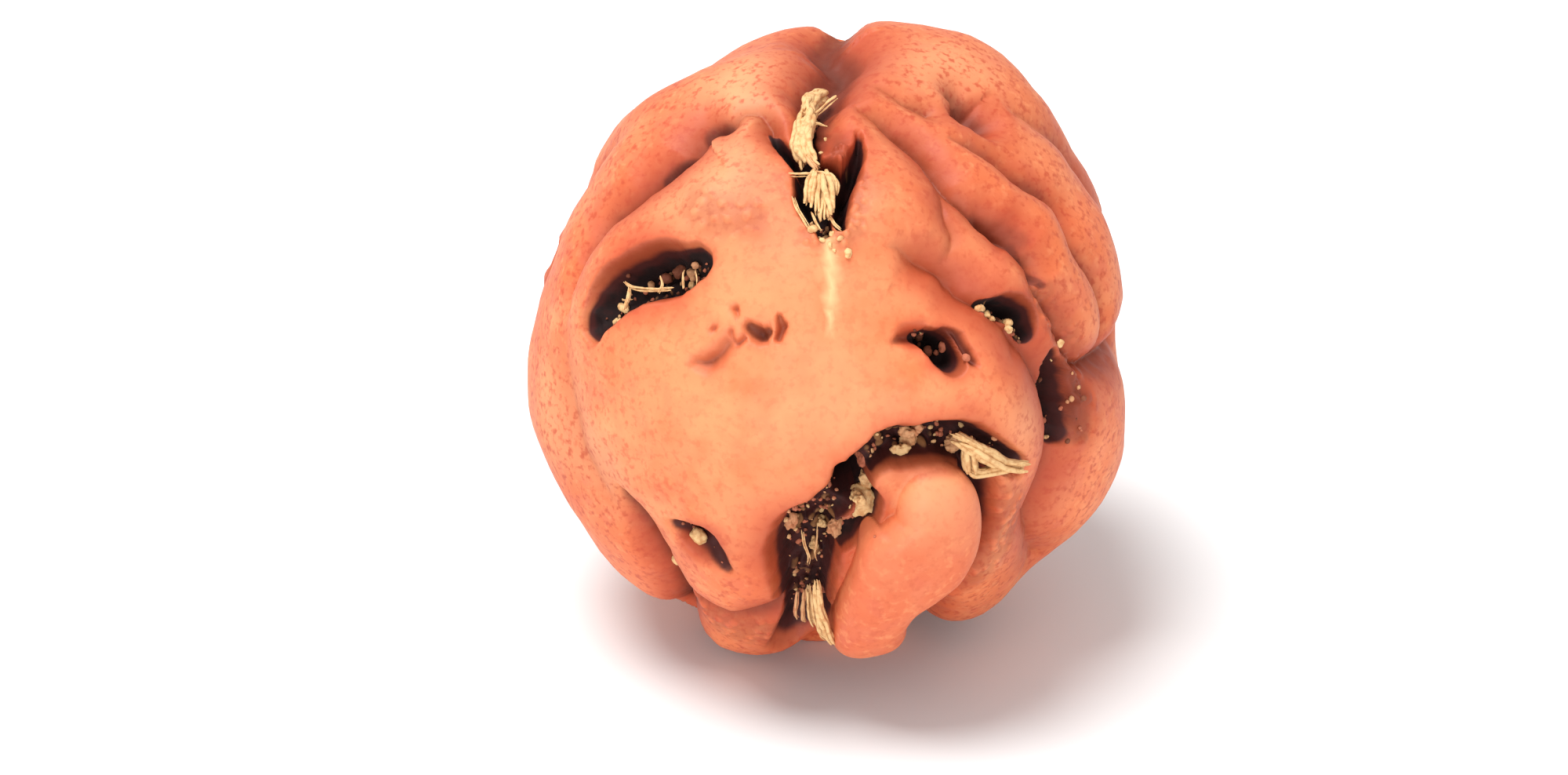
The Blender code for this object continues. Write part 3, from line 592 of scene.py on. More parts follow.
# Single crumbs in and beside the pits.
PIT_FLECKS = (
    Dot(-48.9, 24.4, (0.62, 0.28, 0.26), turn=-10, lift=0.9),
    Dot(-49.9, 21.4, (0.24, 0.26, 0.20), lift=0.5),
    Dot(-46.4, 22.4, (0.34, 0.20, 0.20), turn=15, lift=0.5),
    Dot(-47.8, 30.6, (0.26, 0.26, 0.26), tint=0.28, lift=0.8),
    Dot(-36.6, 36.2, (0.32, 0.34, 0.30), tint=0.30, lift=0.8),
    Dot(-33.5, 37.6, (0.26, 0.28, 0.24), tint=0.32, lift=0.8),
    Dot(-35.4, 33.6, (0.26, 0.24, 0.24), tint=0.05, lift=0.9),
    Dot(-40.6, 35.5, (0.40, 0.50, 0.40), tint=0.85, lift=0.4),
    Dot(-44.0, 33.2, (0.50, 0.40, 0.40), tint=0.80, lift=0.4),
    Dot(25.1, 23.0, (0.34, 0.42, 0.34), tint=0.55, lift=0.4),
    Dot(26.5, 21.1, (0.28, 0.28, 0.24), tint=0.50, lift=0.3),
    Dot(22.8, 22.6, (0.34, 0.40, 0.34), tint=0.62, lift=0.4),
    Dot(20.6, 26.2, (0.30, 0.40, 0.34), tint=0.95, lift=0.3),
    Dot(41.3, 24.2, (0.32, 0.32, 0.40), tint=0.0, lift=0.8),
    Dot(40.4, 23.2, (0.22, 0.26, 0.26), tint=0.10, lift=0.7),
    Dot(35.3, 28.6, (0.36, 0.26, 0.30), tint=0.20, lift=0.4),
    Dot(36.6, 27.1, (0.40, 0.26, 0.30), tint=0.10, lift=0.4),
    Dot(37.9, 25.9, (0.30, 0.24, 0.26), tint=0.15, lift=0.4),
    Dot(49.1, 4.2, (0.40, 0.62, 0.42), tint=0.34, lift=0.6),
    Dot(50.5, 6.8, (0.22, 0.24, 0.24), tint=0.10, lift=0.8),
    Dot(49.4, -2.3, (0.34, 0.20, 0.20), tint=0.15, lift=0.5),
    Dot(51.5, -4.2, (0.26, 0.16, 0.16), tint=0.20, lift=0.5),
    Dot(-24.9, -15.6, (0.50, 0.74, 0.50), turn=35, tint=0.02, lift=0.55),
    Dot(-37.0, -31.0, (0.40, 0.46, 0.34), tint=0.02, lift=0.4),
    Dot(54.0, 15.8, (0.36, 0.32, 0.24), tint=0.0, lift=0.3),
)

# How many fine crumbs are strewn in each hollow.
SCATTERED = {
    "eye_pit_left": 46,
    "eye_pit_right": 12,
    "brow_pit": 22,
    "jaw_pit": 40,
    "jaw_pit_rim": 14,
    "cheek_pit": 8,
    "trunk_gap_left": 120,
    "trunk_gap_top": 60,
    "trunk_notch": 16,
    "stem_slot": 36,
}


def direction(longitude: float, latitude: float) -> np.ndarray:
    """The unit vector from the core's centre towards a place on the stone.

    Args:
        longitude: Degrees, 0 at the front and 90 at +X.
        latitude: Degrees, 90 straight up.

    Returns:
        The vector's X, Y and Z.
    """
    lon, lat = math.radians(longitude), math.radians(latitude)
    return np.array(
        (math.sin(lon) * math.cos(lat), -math.cos(lon) * math.cos(lat), math.sin(lat))
    )


def unit(vectors: np.ndarray) -> np.ndarray:
    """The vectors, one a row, brought to length 1."""
    return vectors / np.linalg.norm(vectors, axis=1)[:, None]


def ramp(values: np.ndarray, start: float, full: float) -> np.ndarray:
    """A smooth rise of a value between two others.

    Args:
        values: The numbers to map.
        start: Where the result is 0.
        full: Where the result is 1.

    Returns:
        Numbers from 0 to 1.
    """
    t = np.clip((values - start) / (full - start), 0.0, 1.0)
    return t * t * (3 - 2 * t)


def smooth_line(knots: Sequence[Sequence[float]], steps: int = 3) -> np.ndarray:
    """Points on one smooth curve through the knots.

    Args:
        knots: The points to pass through, each with any number of values.
        steps: How many steps lie between two knots.

    Returns:
        One row for each point.
    """
    given = np.asarray(knots, float)
    if len(given) < 3:
        return given
    before = np.vstack((2 * given[0] - given[1], given[:-1]))
    after = np.vstack((given[1:], 2 * given[-1] - given[-2]))
    slopes = (after - before) / 2
    line = []
    for i in range(len(given) - 1):
        for step in range(steps):
            t = step / steps
            line.append(
                (2 * t**3 - 3 * t**2 + 1) * given[i]
                + (t**3 - 2 * t**2 + t) * slopes[i]
                + (3 * t**2 - 2 * t**3) * given[i + 1]
                + (t**3 - t**2) * slopes[i + 1]
            )
    return np.array(line + [given[-1]])


def near_line(places: np.ndarray, line: np.ndarray) -> tuple[np.ndarray, np.ndarray]:
    """How far each unit vector is from a line on the unit ball, and the line's share there.

    Args:
        places: Unit vectors, one a row.
        line: Points as X, Y, Z and share.

    Returns:
        The gaps on the unit ball, and the shares.
    """
    if len(line) == 1:
        gap = np.linalg.norm(places - line[0, :3], axis=1)
        return gap, np.full(len(places), line[0, 3])
    best = np.full(len(places), np.inf)
    share = np.zeros(len(places))
    for start, end in zip(line[:-1], line[1:]):
        step = end[:3] - start[:3]
        t = np.clip((places - start[:3]) @ step / (step @ step), 0.0, 1.0)
        gap = np.linalg.norm(places - start[:3] - t[:, None] * step, axis=1)
        nearer = gap < best
        best = np.where(nearer, gap, best)
        share = np.where(nearer, start[3] + t * (end[3] - start[3]), share)
    return best, share


def lumps(places: np.ndarray, scale: float) -> np.ndarray:
    """Smooth noise for each unit vector.

    Args:
        places: Unit vectors, one a row.
        scale: How many lumps fit in the core's radius.

    Returns:
        Numbers from about -1 to 1.
    """
    return np.array([noise.noise(Vector(place) * scale) for place in places])


@dataclass
class BackLobes:
    """The lobes of the unseen back: a spiral of lobe centres, shaken a little. Sizes in mm."""

    count: int = 46
    shake: float = 0.16
    seed: int = 11
    furrow_depth: float = 1.05
    furrow_width: float = 0.85
    faintest: float = 0.15
    pit_depth: float = 1.5
    pit_width: float = 0.95
    pit_chance: float = 1.6
    behind: tuple[float, float] = (0.10, 0.35)
    beneath: tuple[float, float] = (-0.72, -0.87)
    below_cleft: tuple[float, float] = (0.93, 0.73)
    round_flat_spot: tuple[float, float] = (-0.985, -0.95)

    def centres(self, draw: random.Random) -> np.ndarray:
        """The middles of the lobes, as unit vectors."""
        golden = math.pi * (3 - math.sqrt(5))
        found = []
        for i in range(self.count):
            height = 1 - (2 * i + 1) / self.count
            ring = math.sqrt(1 - height**2)
            shift = [draw.uniform(-self.shake, self.shake) for _ in range(3)]
            middle = (ring * math.cos(i * golden), ring * math.sin(i * golden), height)
            found.append(np.add(middle, shift))
        return unit(np.array(found))

    def depths(self, places: np.ndarray, core_radius: float) -> tuple[np.ndarray, np.ndarray]:
        """How deep the furrows between the lobes and the pits at their corners are.

        Args:
            places: Unit vectors, one a row.
            core_radius: The stone's radius in mm.

        Returns:
            The furrows' depths and the pits' depths, in mm.
        """
        draw = random.Random(self.seed)
        centres = self.centres(draw)
        strength = np.array([[draw.uniform(self.faintest, 1.0) for _ in centres] for _ in centres])
        pitted = np.array([draw.random() for _ in centres])
        angles = np.arccos(np.clip(places @ centres.T, -1, 1))
        order = np.argsort(angles, axis=1)[:, :3]
        nearest = np.take_along_axis(angles, order, axis=1)
        border = (nearest[:, 1] - nearest[:, 0]) / 2 * core_radius
        corner = (nearest[:, 2] - nearest[:, 0]) / 2 * core_radius
        low = np.minimum(order[:, 0], order[:, 1])
        high = np.maximum(order[:, 0], order[:, 1])
        furrow = self.furrow_depth * strength[low, high] * np.exp(-border / self.furrow_width)
        deep = pitted[order].sum(axis=1) > self.pit_chance
        pit = self.pit_depth * deep * np.exp(-((corner / self.pit_width) ** 2))
        shown = np.maximum(
            self.share(places[:, 1], self.behind), self.share(places[:, 2], self.beneath)
        )
        shown *= self.share(places[:, 2], self.below_cleft)
        shown *= self.share(places[:, 2], self.round_flat_spot)
        return furrow * shown, pit * shown

    @staticmethod
    def share(values: np.ndarray, ends: tuple[float, float]) -> np.ndarray:
        """A straight rise from 0 at the first end to 1 at the second."""
        return np.clip((values - ends[0]) / (ends[1] - ends[0]), 0.0, 1.0)


@dataclass(frozen=True)
class StainsAndShade:
    """How the stains and the painted shade lie round a hollow's line, at distances in shares of its
    half width.

    A pair holds the values between which a stain with its painted shade rises from 0 to 1. The back
    values are for the furrows and pits of the unseen back, by their depths in mm, where the deeper
    ones are painted darker.
    """

    thinnest: float = 0.4
    dark_edge: tuple[float, float] = (0.15, 0.85)
    rim_strength: float = 0.7
    rim_at: float = 1.05
    rim_spread: float = 0.06
    blush_spread: float = 5.0
    crease_fall: float = 1.6
    groove_brown: float = 0.45
    husk_knob: tuple[float, float] = (0.35, 0.8)
    husk_from_dark: float = 0.3
    back_crease: tuple[float, float] = (0.35, 1.05)
    back_blush: tuple[float, float] = (0.1, 0.9)
    back_dark: tuple[float, float] = (0.6, 1.35)
    back_strength: float = 0.8

    def left_by(
        self, hollow: Hollow, share: np.ndarray, away: np.ndarray, sunk: np.ndarray
    ) -> dict[str, np.ndarray]:
        """The stains and the painted shade that a hollow leaves.

        Args:
            hollow: The hollow.
            share: The line's share of the full size at each place.
            away: How far each place is from the line.
            sunk: How deep each place is cut, as a share of the hollow's depth.

        Returns:
            The stains and the painted shade by name.
        """
        # Painted shade with stain: the floor darker the deeper it is cut, a brown rim and crease
        # line, and red round the line.
        edge = ramp(sunk / np.maximum(share, self.thinnest), *self.dark_edge)
        full = np.minimum(share, 1)
        rim_gap = (away - self.rim_at) ** 2 / self.rim_spread
        rim = self.rim_strength * hollow.dark * np.exp(-rim_gap)
        middle = hollow.crease * np.exp(-self.crease_fall * away)
        return {
            "dark": hollow.dark * edge,
            "blush": hollow.blush * full * np.exp(-(away**2) / self.blush_spread),
            "crease": full * np.maximum(middle, rim),
        }


@dataclass
class Survey:
    """What the stone is like at a set of places: its radius in mm and the stains with their painted
    shade, from 0 to 1.
    """

    radius: np.ndarray
    stains_and_shade: dict[str, np.ndarray]


@dataclass
class Relief:
    """The stone's shape as a formula of the direction from the core's centre. Sizes in mm.

    The unevenness, the wavers and the pit floor are noise, as (size, amount). A hollow keeps the
    steady part of its width where its share is small. It reaches out to the fade, in half widths,
    or further, to where its fall is spent. A patch reaches out to its own reach in half widths.
    """

    core_radius: float = 11.0
    core_height: float = 10.6
    least_share: float = 0.05
    steady_width: float = 0.35
    swells: tuple[Swell, ...] = SWELLS
    hollows: Mapping[str, Hollow] = field(default_factory=lambda: HOLLOWS)
    pebbled: tuple[Pebbles, ...] = PEBBLED
    fade: float = 4.0
    spent: float = 7.0
    patch_reach: float = 2.0
    hollow_stains_and_shade: StainsAndShade = StainsAndShade()
    unevenness: tuple[tuple[float, float], ...] = ((4.5, 0.30), (1.8, 0.09), (0.7, 0.02))
    wavers: tuple[tuple[float, float], ...] = ((2.4, 0.26), (0.9, 0.08), (0.4, 0.06))
    waver_seed: int = 7
    pit_floor: tuple[float, float] = (0.45, 0.30)
    back: BackLobes = field(default_factory=BackLobes)

    def waver(self, places: np.ndarray) -> np.ndarray:
        """The places moved about by smooth noise, so that no furrow runs dead straight."""
        noise.seed_set(self.waver_seed)
        moved = places
        for size, amount in self.wavers:
            scale = self.core_radius / size
            shift = [noise.noise_vector(Vector(place) * scale) for place in moved]
            moved = unit(moved + np.array(shift) * (amount / self.core_radius))
        return moved

    def swell(self, places: np.ndarray, swells: Iterable[Swell]) -> np.ndarray:
        """How far the broad rises and dips among the swells lift each place."""
        total = np.zeros(len(places))
        for swell in swells:
            middle = direction(swell.longitude, swell.latitude)
            gap = np.linalg.norm(places - middle, axis=1) * self.core_radius
            total += swell.height * np.exp(-((gap / swell.reach) ** 2) / 2)
        return total

    def reached(self, places: np.ndarray, line: np.ndarray, reach: float) -> np.ndarray:
        """Which places lie within a reach, in mm, of the ball that holds a line."""
        middle = line[:, :3].mean(axis=0)
        extent = np.linalg.norm(line[:, :3] - middle, axis=1).max() + reach / self.core_radius
        return np.flatnonzero(((places - middle) ** 2).sum(axis=1) < extent**2)

    def carve(self, places: np.ndarray, stains_and_shade: dict[str, np.ndarray]) -> np.ndarray:
        """Cuts the hollows and paints their stains and shade.

        Where hollows cross, the cube root of their summed cubes lets the deeper one lead.

        Args:
            places: Unit vectors, one a row.
            stains_and_shade: The stains and painted shade by name, which are changed.

        Returns:
            How deep each place is cut, in mm.
        """
        carved = np.zeros(len(places))
        for hollow in self.hollows.values():
            knots = [(*direction(lon, lat), share) for lon, lat, share in hollow.line]
            line = smooth_line(knots)
            power = hollow.wall.value
            widest = hollow.half_width * max(1.0, line[:, 3].max())
            fade = max(self.fade, self.spent ** (1 / power))
            near = self.reached(places, line, widest * fade)
            gap, share = near_line(places[near], line)
            share = np.maximum(share, self.least_share)
            reach = hollow.half_width * (self.steady_width + (1 - self.steady_width) * share)
            away = gap * self.core_radius / reach
            sunk = share * np.exp(-(away**power))
            carved[near] += (hollow.depth * sunk) ** 3
            for name, stain_and_shade in self.hollow_stains_and_shade.left_by(hollow, share, away, sunk).items():
                stains_and_shade[name][near] = np.maximum(stains_and_shade[name][near], stain_and_shade)
        return np.cbrt(carved)

    def pebble(self, places: np.ndarray, stains_and_shade: dict[str, np.ndarray]) -> np.ndarray:
        """Raises the pebbly patches and browns the grooves between their knobs, as painted shade
        with stain.

        Args:
            places: Unit vectors, one a row.
            stains_and_shade: The stains and painted shade by name, which are changed.

        Returns:
            How far each place is raised, in mm.
        """
        raised = np.zeros(len(places))
        look = self.hollow_stains_and_shade
        for patch in self.pebbled:
            line = smooth_line([(*direction(lon, lat), 1.0) for lon, lat in patch.line])
            near = self.reached(places, line, patch.half_width * self.patch_reach)
            gap, _ = near_line(places[near], line)
            share = np.exp(-((gap * self.core_radius / patch.half_width) ** 4))
            scale = self.core_radius / patch.grain
            cells = [noise.voronoi(Vector(place) * scale)[0] for place in places[near]]
            knob = np.array([max(0.0, 1 - (2 * nearest) ** 2) for nearest, *_ in cells])
            raised[near] += share * patch.height * knob
            groove = share * (1 - knob) * look.groove_brown
            stains_and_shade["crease"][near] = np.maximum(stains_and_shade["crease"][near], groove)
            floor = stains_and_shade["dark"][near] > look.husk_from_dark
            husk = patch.husk * share * ramp(knob, *look.husk_knob) * floor
            stains_and_shade["husk"][near] = np.maximum(stains_and_shade["husk"][near], husk)
        return raised

    def survey(self, places: np.ndarray) -> Survey:
        """The stone's radius, stains and painted shade towards each unit vector.

        Args:
            places: Unit vectors, one a row.

        Returns:
            The radius in mm and the stains and painted shade by name.
        """
        shaken = self.waver(places)
        stains_and_shade = {name: np.zeros(len(places)) for name in ("dark", "blush", "crease", "husk")}
        radius = self.core_radius + self.swell(places, self.swells) - self.carve(shaken, stains_and_shade)
        radius += self.pebble(places, stains_and_shade)
        furrow, pit = self.back.depths(shaken, self.core_radius)
        radius -= furrow + pit
        # Painted shade in the back's furrows and pits: browner, redder and darker the deeper they
        # are.
        look = self.hollow_stains_and_shade
        for name, stain_and_shade in (
            ("crease", ramp(furrow, *look.back_crease) * look.back_strength),
            ("blush", ramp(furrow + pit, *look.back_blush) * look.back_strength),
            ("dark", ramp(pit, *look.back_dark)),
        ):
            stains_and_shade[name] = np.maximum(stains_and_shade[name], stain_and_shade)
        for size, amount in self.unevenness:
            radius += amount * lumps(places, self.core_radius / size)
        size, amount = self.pit_floor
        rough = np.flatnonzero(stains_and_shade["dark"] > 0)
        floor = lumps(places[rough], self.core_radius / size)
        radius[rough] += stains_and_shade["dark"][rough] * amount * floor
        return Survey(radius, stains_and_shade)

    def points(self, knots: Iterable[Sequence[float]]) -> np.ndarray:
        """Where (longitude, latitude, height) points lie, in metres, heights above the core."""
        return np.array(
            [direction(lon, lat) * (self.core_radius + high) * MM for lon, lat, high in knots]
        ) + (0, 0, self.core_height * MM)


class Wire:
    """A node socket that takes part in Python arithmetic."""

    def __init__(self, pad: "Pad", socket: bpy.types.NodeSocket) -> None:
        """Keeps the tree's pad and the socket."""
        self.pad = pad
        self.socket = socket

    def __add__(self, other: "Wire | float") -> "Wire":
        """The sum."""
        return self.pad.maths("ADD", self, other)

    def __radd__(self, other: float) -> "Wire":
        """The sum with a number on the left."""
        return self.pad.maths("ADD", other, self)

    def __sub__(self, other: "Wire | float") -> "Wire":
        """The difference."""
        return self.pad.maths("SUBTRACT", self, other)

    def __rsub__(self, other: float) -> "Wire":
        """The difference from a number on the left."""
        return self.pad.maths("SUBTRACT", other, self)

    def __mul__(self, other: "Wire | float") -> "Wire":
        """The product."""
        return self.pad.maths("MULTIPLY", self, other)

    def __rmul__(self, other: float) -> "Wire":
        """The product with a number on the left."""
        return self.pad.maths("MULTIPLY", other, self)


class Pad:
    """A node tree that is written as Python expressions."""

    MIX_FACTOR, MIX_FIRST, MIX_SECOND, MIX_COLOUR = 0, 6, 7, 2

    def __init__(self, tree: bpy.types.NodeTree) -> None:
        """Keeps the tree."""
        self.tree = tree

    def node(
        self,
        kind: str,
        settings: Mapping[str, Any] | None = None,
        sockets: Mapping[str | int, Any] | None = None,
        output: str | int = 0,
    ) -> Wire:
        """Adds one node.

        Args:
            kind: The node's type.
            settings: Its properties, set before its sockets.
            sockets: The values or wires of its inputs, by name or number.
            output: The output that the result stands for.

        Returns:
            The output as a wire.
        """
        made = self.tree.nodes.new(kind)
        for name, value in (settings or {}).items():
            setattr(made, name, value)
        for name, value in (sockets or {}).items():
            if isinstance(value, Wire):
                self.tree.links.new(value.socket, made.inputs[name])
            else:
                made.inputs[name].default_value = value
        return Wire(self, made.outputs[output])

    def coat(
        self,
        colour: "Wire | Colour",
        roughness: "Wire | float",
        specular: float,
        normal: Wire | None = None,
    ) -> None:
        """Ends a material with its surface.

        Args:
            colour: The base colour.
            roughness: The roughness, from 0 to 1.
            specular: The level of its reflections, where 0.5 is the usual one.
            normal: The bump's normal, if it has one.
        """
        sockets = {"Base Color": colour, "Roughness": roughness, "Specular IOR Level": specular}
        if normal is not None:
            sockets["Normal"] = normal
        surface = self.node("ShaderNodeBsdfPrincipled", sockets=sockets)
        output = self.tree.nodes.new("ShaderNodeOutputMaterial")
        self.tree.links.new(surface.socket, output.inputs["Surface"])

    def maths(self, operation: str, *values: "Wire | float") -> Wire:
        """One Math node on wires and numbers."""
        return self.node("ShaderNodeMath", {"operation": operation}, dict(enumerate(values)))

    def vector(self, operation: str, *values: Any, output: str = "Vector") -> Wire:
        """One Vector Math node on wires and vectors."""
        sockets = dict(enumerate(values))
        return self.node("ShaderNodeVectorMath", {"operation": operation}, sockets, output)

    def rise(self, value: Wire, start: float, full: float) -> Wire:
        """A smooth rise from 0 where the value is start to 1 where it is full."""
        return self.node(
            "ShaderNodeMapRange",
            {"interpolation_type": "SMOOTHSTEP"},
            {"Value": value, "From Min": start, "From Max": full},
        )

    def blend(self, factor: "Wire | float", first: Any, second: Any) -> Wire:
        """A colour between two others."""
        sockets = {self.MIX_FACTOR: factor, self.MIX_FIRST: first, self.MIX_SECOND: second}
        return self.node("ShaderNodeMix", {"data_type": "RGBA"}, sockets, self.MIX_COLOUR)

    def mark(self, name: str) -> Wire:
        """A number kept on the mesh's points under that name."""
        return self.node("ShaderNodeAttribute", {"attribute_name": name}, output="Fac")

    def place(self) -> Wire:
        """The object's own coordinates, in metres."""
        return self.node("ShaderNodeTexCoord", output="Object")

    def grain(
        self, size: float, detail: float = 3.0, rough: float = 0.55, shift: float = 0.0
    ) -> Wire:
        """Cloudy noise from 0 to 1 over the object.

        Args:
            size: The clouds' size in metres.
            detail: How many finer layers it has.
            rough: How strong the finer layers are.
            shift: A distance that sets one pattern apart from another.

        Returns:
            The noise.
        """
        where = self.vector("ADD", self.place(), (shift, shift, shift))
        sockets = {"Vector": where, "Scale": 1 / size, "Detail": detail, "Roughness": rough}
        return self.node("ShaderNodeTexNoise", sockets=sockets)

    def patchy(self, pattern: "Pattern", more: Wire | None = None) -> Wire:
        """Where a pattern shows, from 0 to 1, and more of it where the second value is high."""
        cloud = self.grain(pattern.size, pattern.detail, shift=pattern.shift)
        if more is not None:
            cloud = cloud + more
        return self.rise(cloud, pattern.start, pattern.full)

    def bump(self, height: Wire, distance: float) -> Wire:
        """A Bump node's normal for a height from 0 to 1 that stands for a distance in metres."""
        sockets = {"Height": height, "Distance": distance, "Strength": 1.0}
        return self.node("ShaderNodeBump", sockets=sockets)


def new_material(name: str) -> tuple[bpy.types.Material, Pad]:
    """A material with nothing but its output, and a pad to write on."""
    material = bpy.data.materials.new(name)
    material.use_nodes = True
    material.node_tree.nodes.clear()
    return material, Pad(material.node_tree)


def paint(red: int, green: int, blue: int) -> Colour:
    """A colour from its sRGB screen values, 0 to 255, as the linear values that shaders take."""
    def linear(value: int) -> float:
        """One channel."""
        share = value / 255
        return share / 12.92 if share <= 0.04045 else ((share + 0.055) / 1.055) ** 2.4

    return (linear(red), linear(green), linear(blue), 1.0)


@dataclass(frozen=True)
class Pattern:
    """Cloudy noise of a size in metres, which rises from 0 to 1 between two of its values."""

    size: float
    start: float
    full: float
    detail: float = 3.0
    shift: float = 0.0


@dataclass(frozen=True)
class StoneFinish:
    """The stone's colours, from the lit lobes to the dark pits with their painted shade, and where
    each of them lies.

    A pair holds the values between which a colour sets in. The patterns are calmer on the trunk
    and round the painted light, a paler patch painted high on the front where the light falls most.
    """

    tan: Colour = paint(230, 135, 88)
    orange: Colour = paint(220, 112, 64)
    rosy: Colour = paint(212, 106, 76)
    sandy: Colour = paint(232, 146, 96)
    # Russet paints shade on the top of the stone.
    russet: Colour = paint(194, 102, 66)
    ruddy: Colour = paint(200, 92, 64)
    # Blush, brown and maroon paint the hollows: red, brown and maroon stain together with painted
    # shade.
    blush: Colour = paint(184, 70, 40)
    brown: Colour = paint(112, 48, 22)
    maroon: Colour = paint(66, 20, 16)
    # Black is painted shade deep in the pits, where light hardly reaches.
    black: Colour = paint(16, 4, 4)
    olive: Colour = paint(132, 88, 52)
    cream: Colour = paint(240, 205, 148)
    buff: Colour = paint(238, 164, 116)
    # Painted light: a paler patch on the front dome, where the light falls most, centred here and
    # fading between these distances.
    painted_light_at: Vector = Vector((-0.6, -10.0, 14.2)) * MM
    painted_light_within: tuple[float, float] = (11.5 * MM, 3.0 * MM)
    # Painted shade: the top is painted darker and browner between these heights, in metres.
    crown: tuple[float, float] = (14.5 * MM, 20.5 * MM)
    mottling: Pattern = Pattern(2.6 * MM, 0.38, 0.72)
    patches: Pattern = Pattern(1.3 * MM, 0.48, 0.66, shift=0.1)
    warmth: Pattern = Pattern(1.7 * MM, 0.52, 0.72, shift=0.3)
    flecks: Pattern = Pattern(0.26 * MM, 0.47, 0.72, detail=2.0, shift=0.2)
    motes: Pattern = Pattern(0.34 * MM, 0.52, 0.76, detail=2.0, shift=0.5)
    # How the painted light on the front dome changes the mottling, the warmth and the calm.
    painted_light_mottling: float = 0.14
    painted_light_warmth: float = 0.05
    painted_light_calm: float = 0.75
    trunk_calm: float = 0.6
    # Where the red and maroon stain with painted shade set in, round and in the hollows.
    blushed: tuple[float, float] = (0.10, 0.85)
    darkened: tuple[float, float] = (0.06, 0.45)
    blackened: tuple[float, float] = (0.50, 0.95)
    husked: tuple[float, float] = (0.25, 0.75)
    # Painted shade: the black on the pits' floors, as an even part and a cloudy part of the dark
    # mark, and the size of the clouds.
    painted_pit_shade: tuple[float, float] = (0.55, 0.75)  # its even part and its cloudy part
    painted_pit_shade_size: float = 0.45 * MM
    even_husk: float = 0.5
    husk_size: float = 0.5 * MM
    roughness: float = 0.55
    rough_pit: float = 0.85
    specular: float = 0.35
    grain_height: float = 0.02 * MM
    fine_size: float = 0.22 * MM
    coarse_size: float = 0.9 * MM

    def material(self) -> bpy.types.Material:
        """Builds the stone's material."""
        material, pad = new_material("stone_look")
        dark, trunk, tone = pad.mark("dark"), pad.mark("trunk"), pad.mark("tone")
        place = pad.place()
        # Painted light: the front dome is painted paler where the light falls most.
        away = pad.vector("DISTANCE", place, self.painted_light_at, output="Value")
        painted_light = pad.rise(away, *self.painted_light_within)
        height = pad.node("ShaderNodeSeparateXYZ", sockets={"Vector": place}, output="Z")
        lively = 1 - painted_light * self.painted_light_calm
        speckled = lively * (1 - trunk * self.trunk_calm)
        # Painted shade: the darkest floors of the hollows are painted black.
        even, cloudy = self.painted_pit_shade
        painted_pit_shade = dark * (even + cloudy * pad.grain(self.painted_pit_shade_size, shift=0.6))
        husk = pad.mark("husk") * (self.even_husk + pad.grain(self.husk_size))
        layers = (  # from the lowest up: where it lies, its strength and its colour
            (pad.patchy(self.patches) * lively, 0.6, self.rosy),
            (pad.patchy(self.warmth, painted_light * self.painted_light_warmth), 0.6, self.sandy),
            # painted shade on the top, darker and browner
            (pad.rise(height, *self.crown), 0.4, self.russet),
            (trunk, 0.45, self.ruddy),
            (pad.rise(tone, 0.0, 1.0), 0.9, self.buff),
            (pad.rise(0.0 - tone, 0.0, 1.0), 0.8, self.orange),
            (pad.patchy(self.flecks) * speckled, 0.8, self.blush),
            (pad.patchy(self.motes) * lively, 0.6, self.sandy),
            # painted shade with stain in and round the hollows: red blush, brown crease line,
            # maroon floor
            (pad.rise(pad.mark("blush"), *self.blushed), 0.85, self.blush),
            (pad.mark("crease"), 0.9, self.brown),
            (pad.rise(dark, *self.darkened), 1.0, self.maroon),
            # painted shade: black deep in the pits
            (pad.rise(painted_pit_shade, *self.blackened), 0.9, self.black),
            (pad.rise(husk, *self.husked), 1.0, self.olive),
            (pad.mark("pale"), 1.0, self.cream),
        )
        mottled = pad.patchy(self.mottling, painted_light * self.painted_light_mottling)
        colour = pad.blend(mottled, self.orange, self.tan)
        for where, strength, layer in layers:
            colour = pad.blend(where * strength, colour, layer)
        fine = pad.grain(self.fine_size, detail=4.0, rough=0.6)
        coarse = pad.grain(self.coarse_size, rough=0.5, shift=0.4)
        roughness = self.roughness + dark * (self.rough_pit - self.roughness)
        normal = pad.bump(fine * 0.5 + coarse * 0.5, self.grain_height)
        pad.coat(colour, roughness, self.specular, normal)
        return material


@dataclass(frozen=True)
class FibreFinish:
    """The dried pulp's colours: cream fibre, and browner or rosier crumbs by their tint."""

    name: str = "fibre_look"
    pale: Colour = paint(224, 184, 130)
    straw: Colour = paint(182, 116, 62)
    rosy: Colour = paint(184, 104, 76)
    brown: Colour = paint(98, 54, 34)
    streaks: Pattern = Pattern(0.22 * MM, 0.42, 0.68)
    streak_strength: float = 0.6
    rosy_tints: tuple[float, float] = (0.1, 0.5)
    brown_tints: tuple[float, float] = (0.5, 1.0)
    roughness: float = 0.7
    specular: float = 0.3
    grain_height: float = 0.02 * MM
    grain_size: float = 0.12 * MM

    def material(self) -> bpy.types.Material:
        """Builds the fibre's material."""
        material, pad = new_material(self.name)
        tint = pad.mark("tint")
        streaks = pad.patchy(self.streaks) * self.streak_strength
        colour = pad.blend(streaks, self.pale, self.straw)
        colour = pad.blend(pad.rise(tint, *self.rosy_tints), colour, self.rosy)
        colour = pad.blend(pad.rise(tint, *self.brown_tints), colour, self.brown)
        normal = pad.bump(pad.grain(self.grain_size, rough=0.6), self.grain_height)
        pad.coat(colour, self.roughness, self.specular, normal)
        return material


def new_object(name: str, mesh: bpy.types.Mesh) -> bpy.types.Object:
    """An object for a mesh, linked to the scene."""
    made = bpy.data.objects.new(name, mesh)
    bpy.context.scene.collection.objects.link(made)
    return made


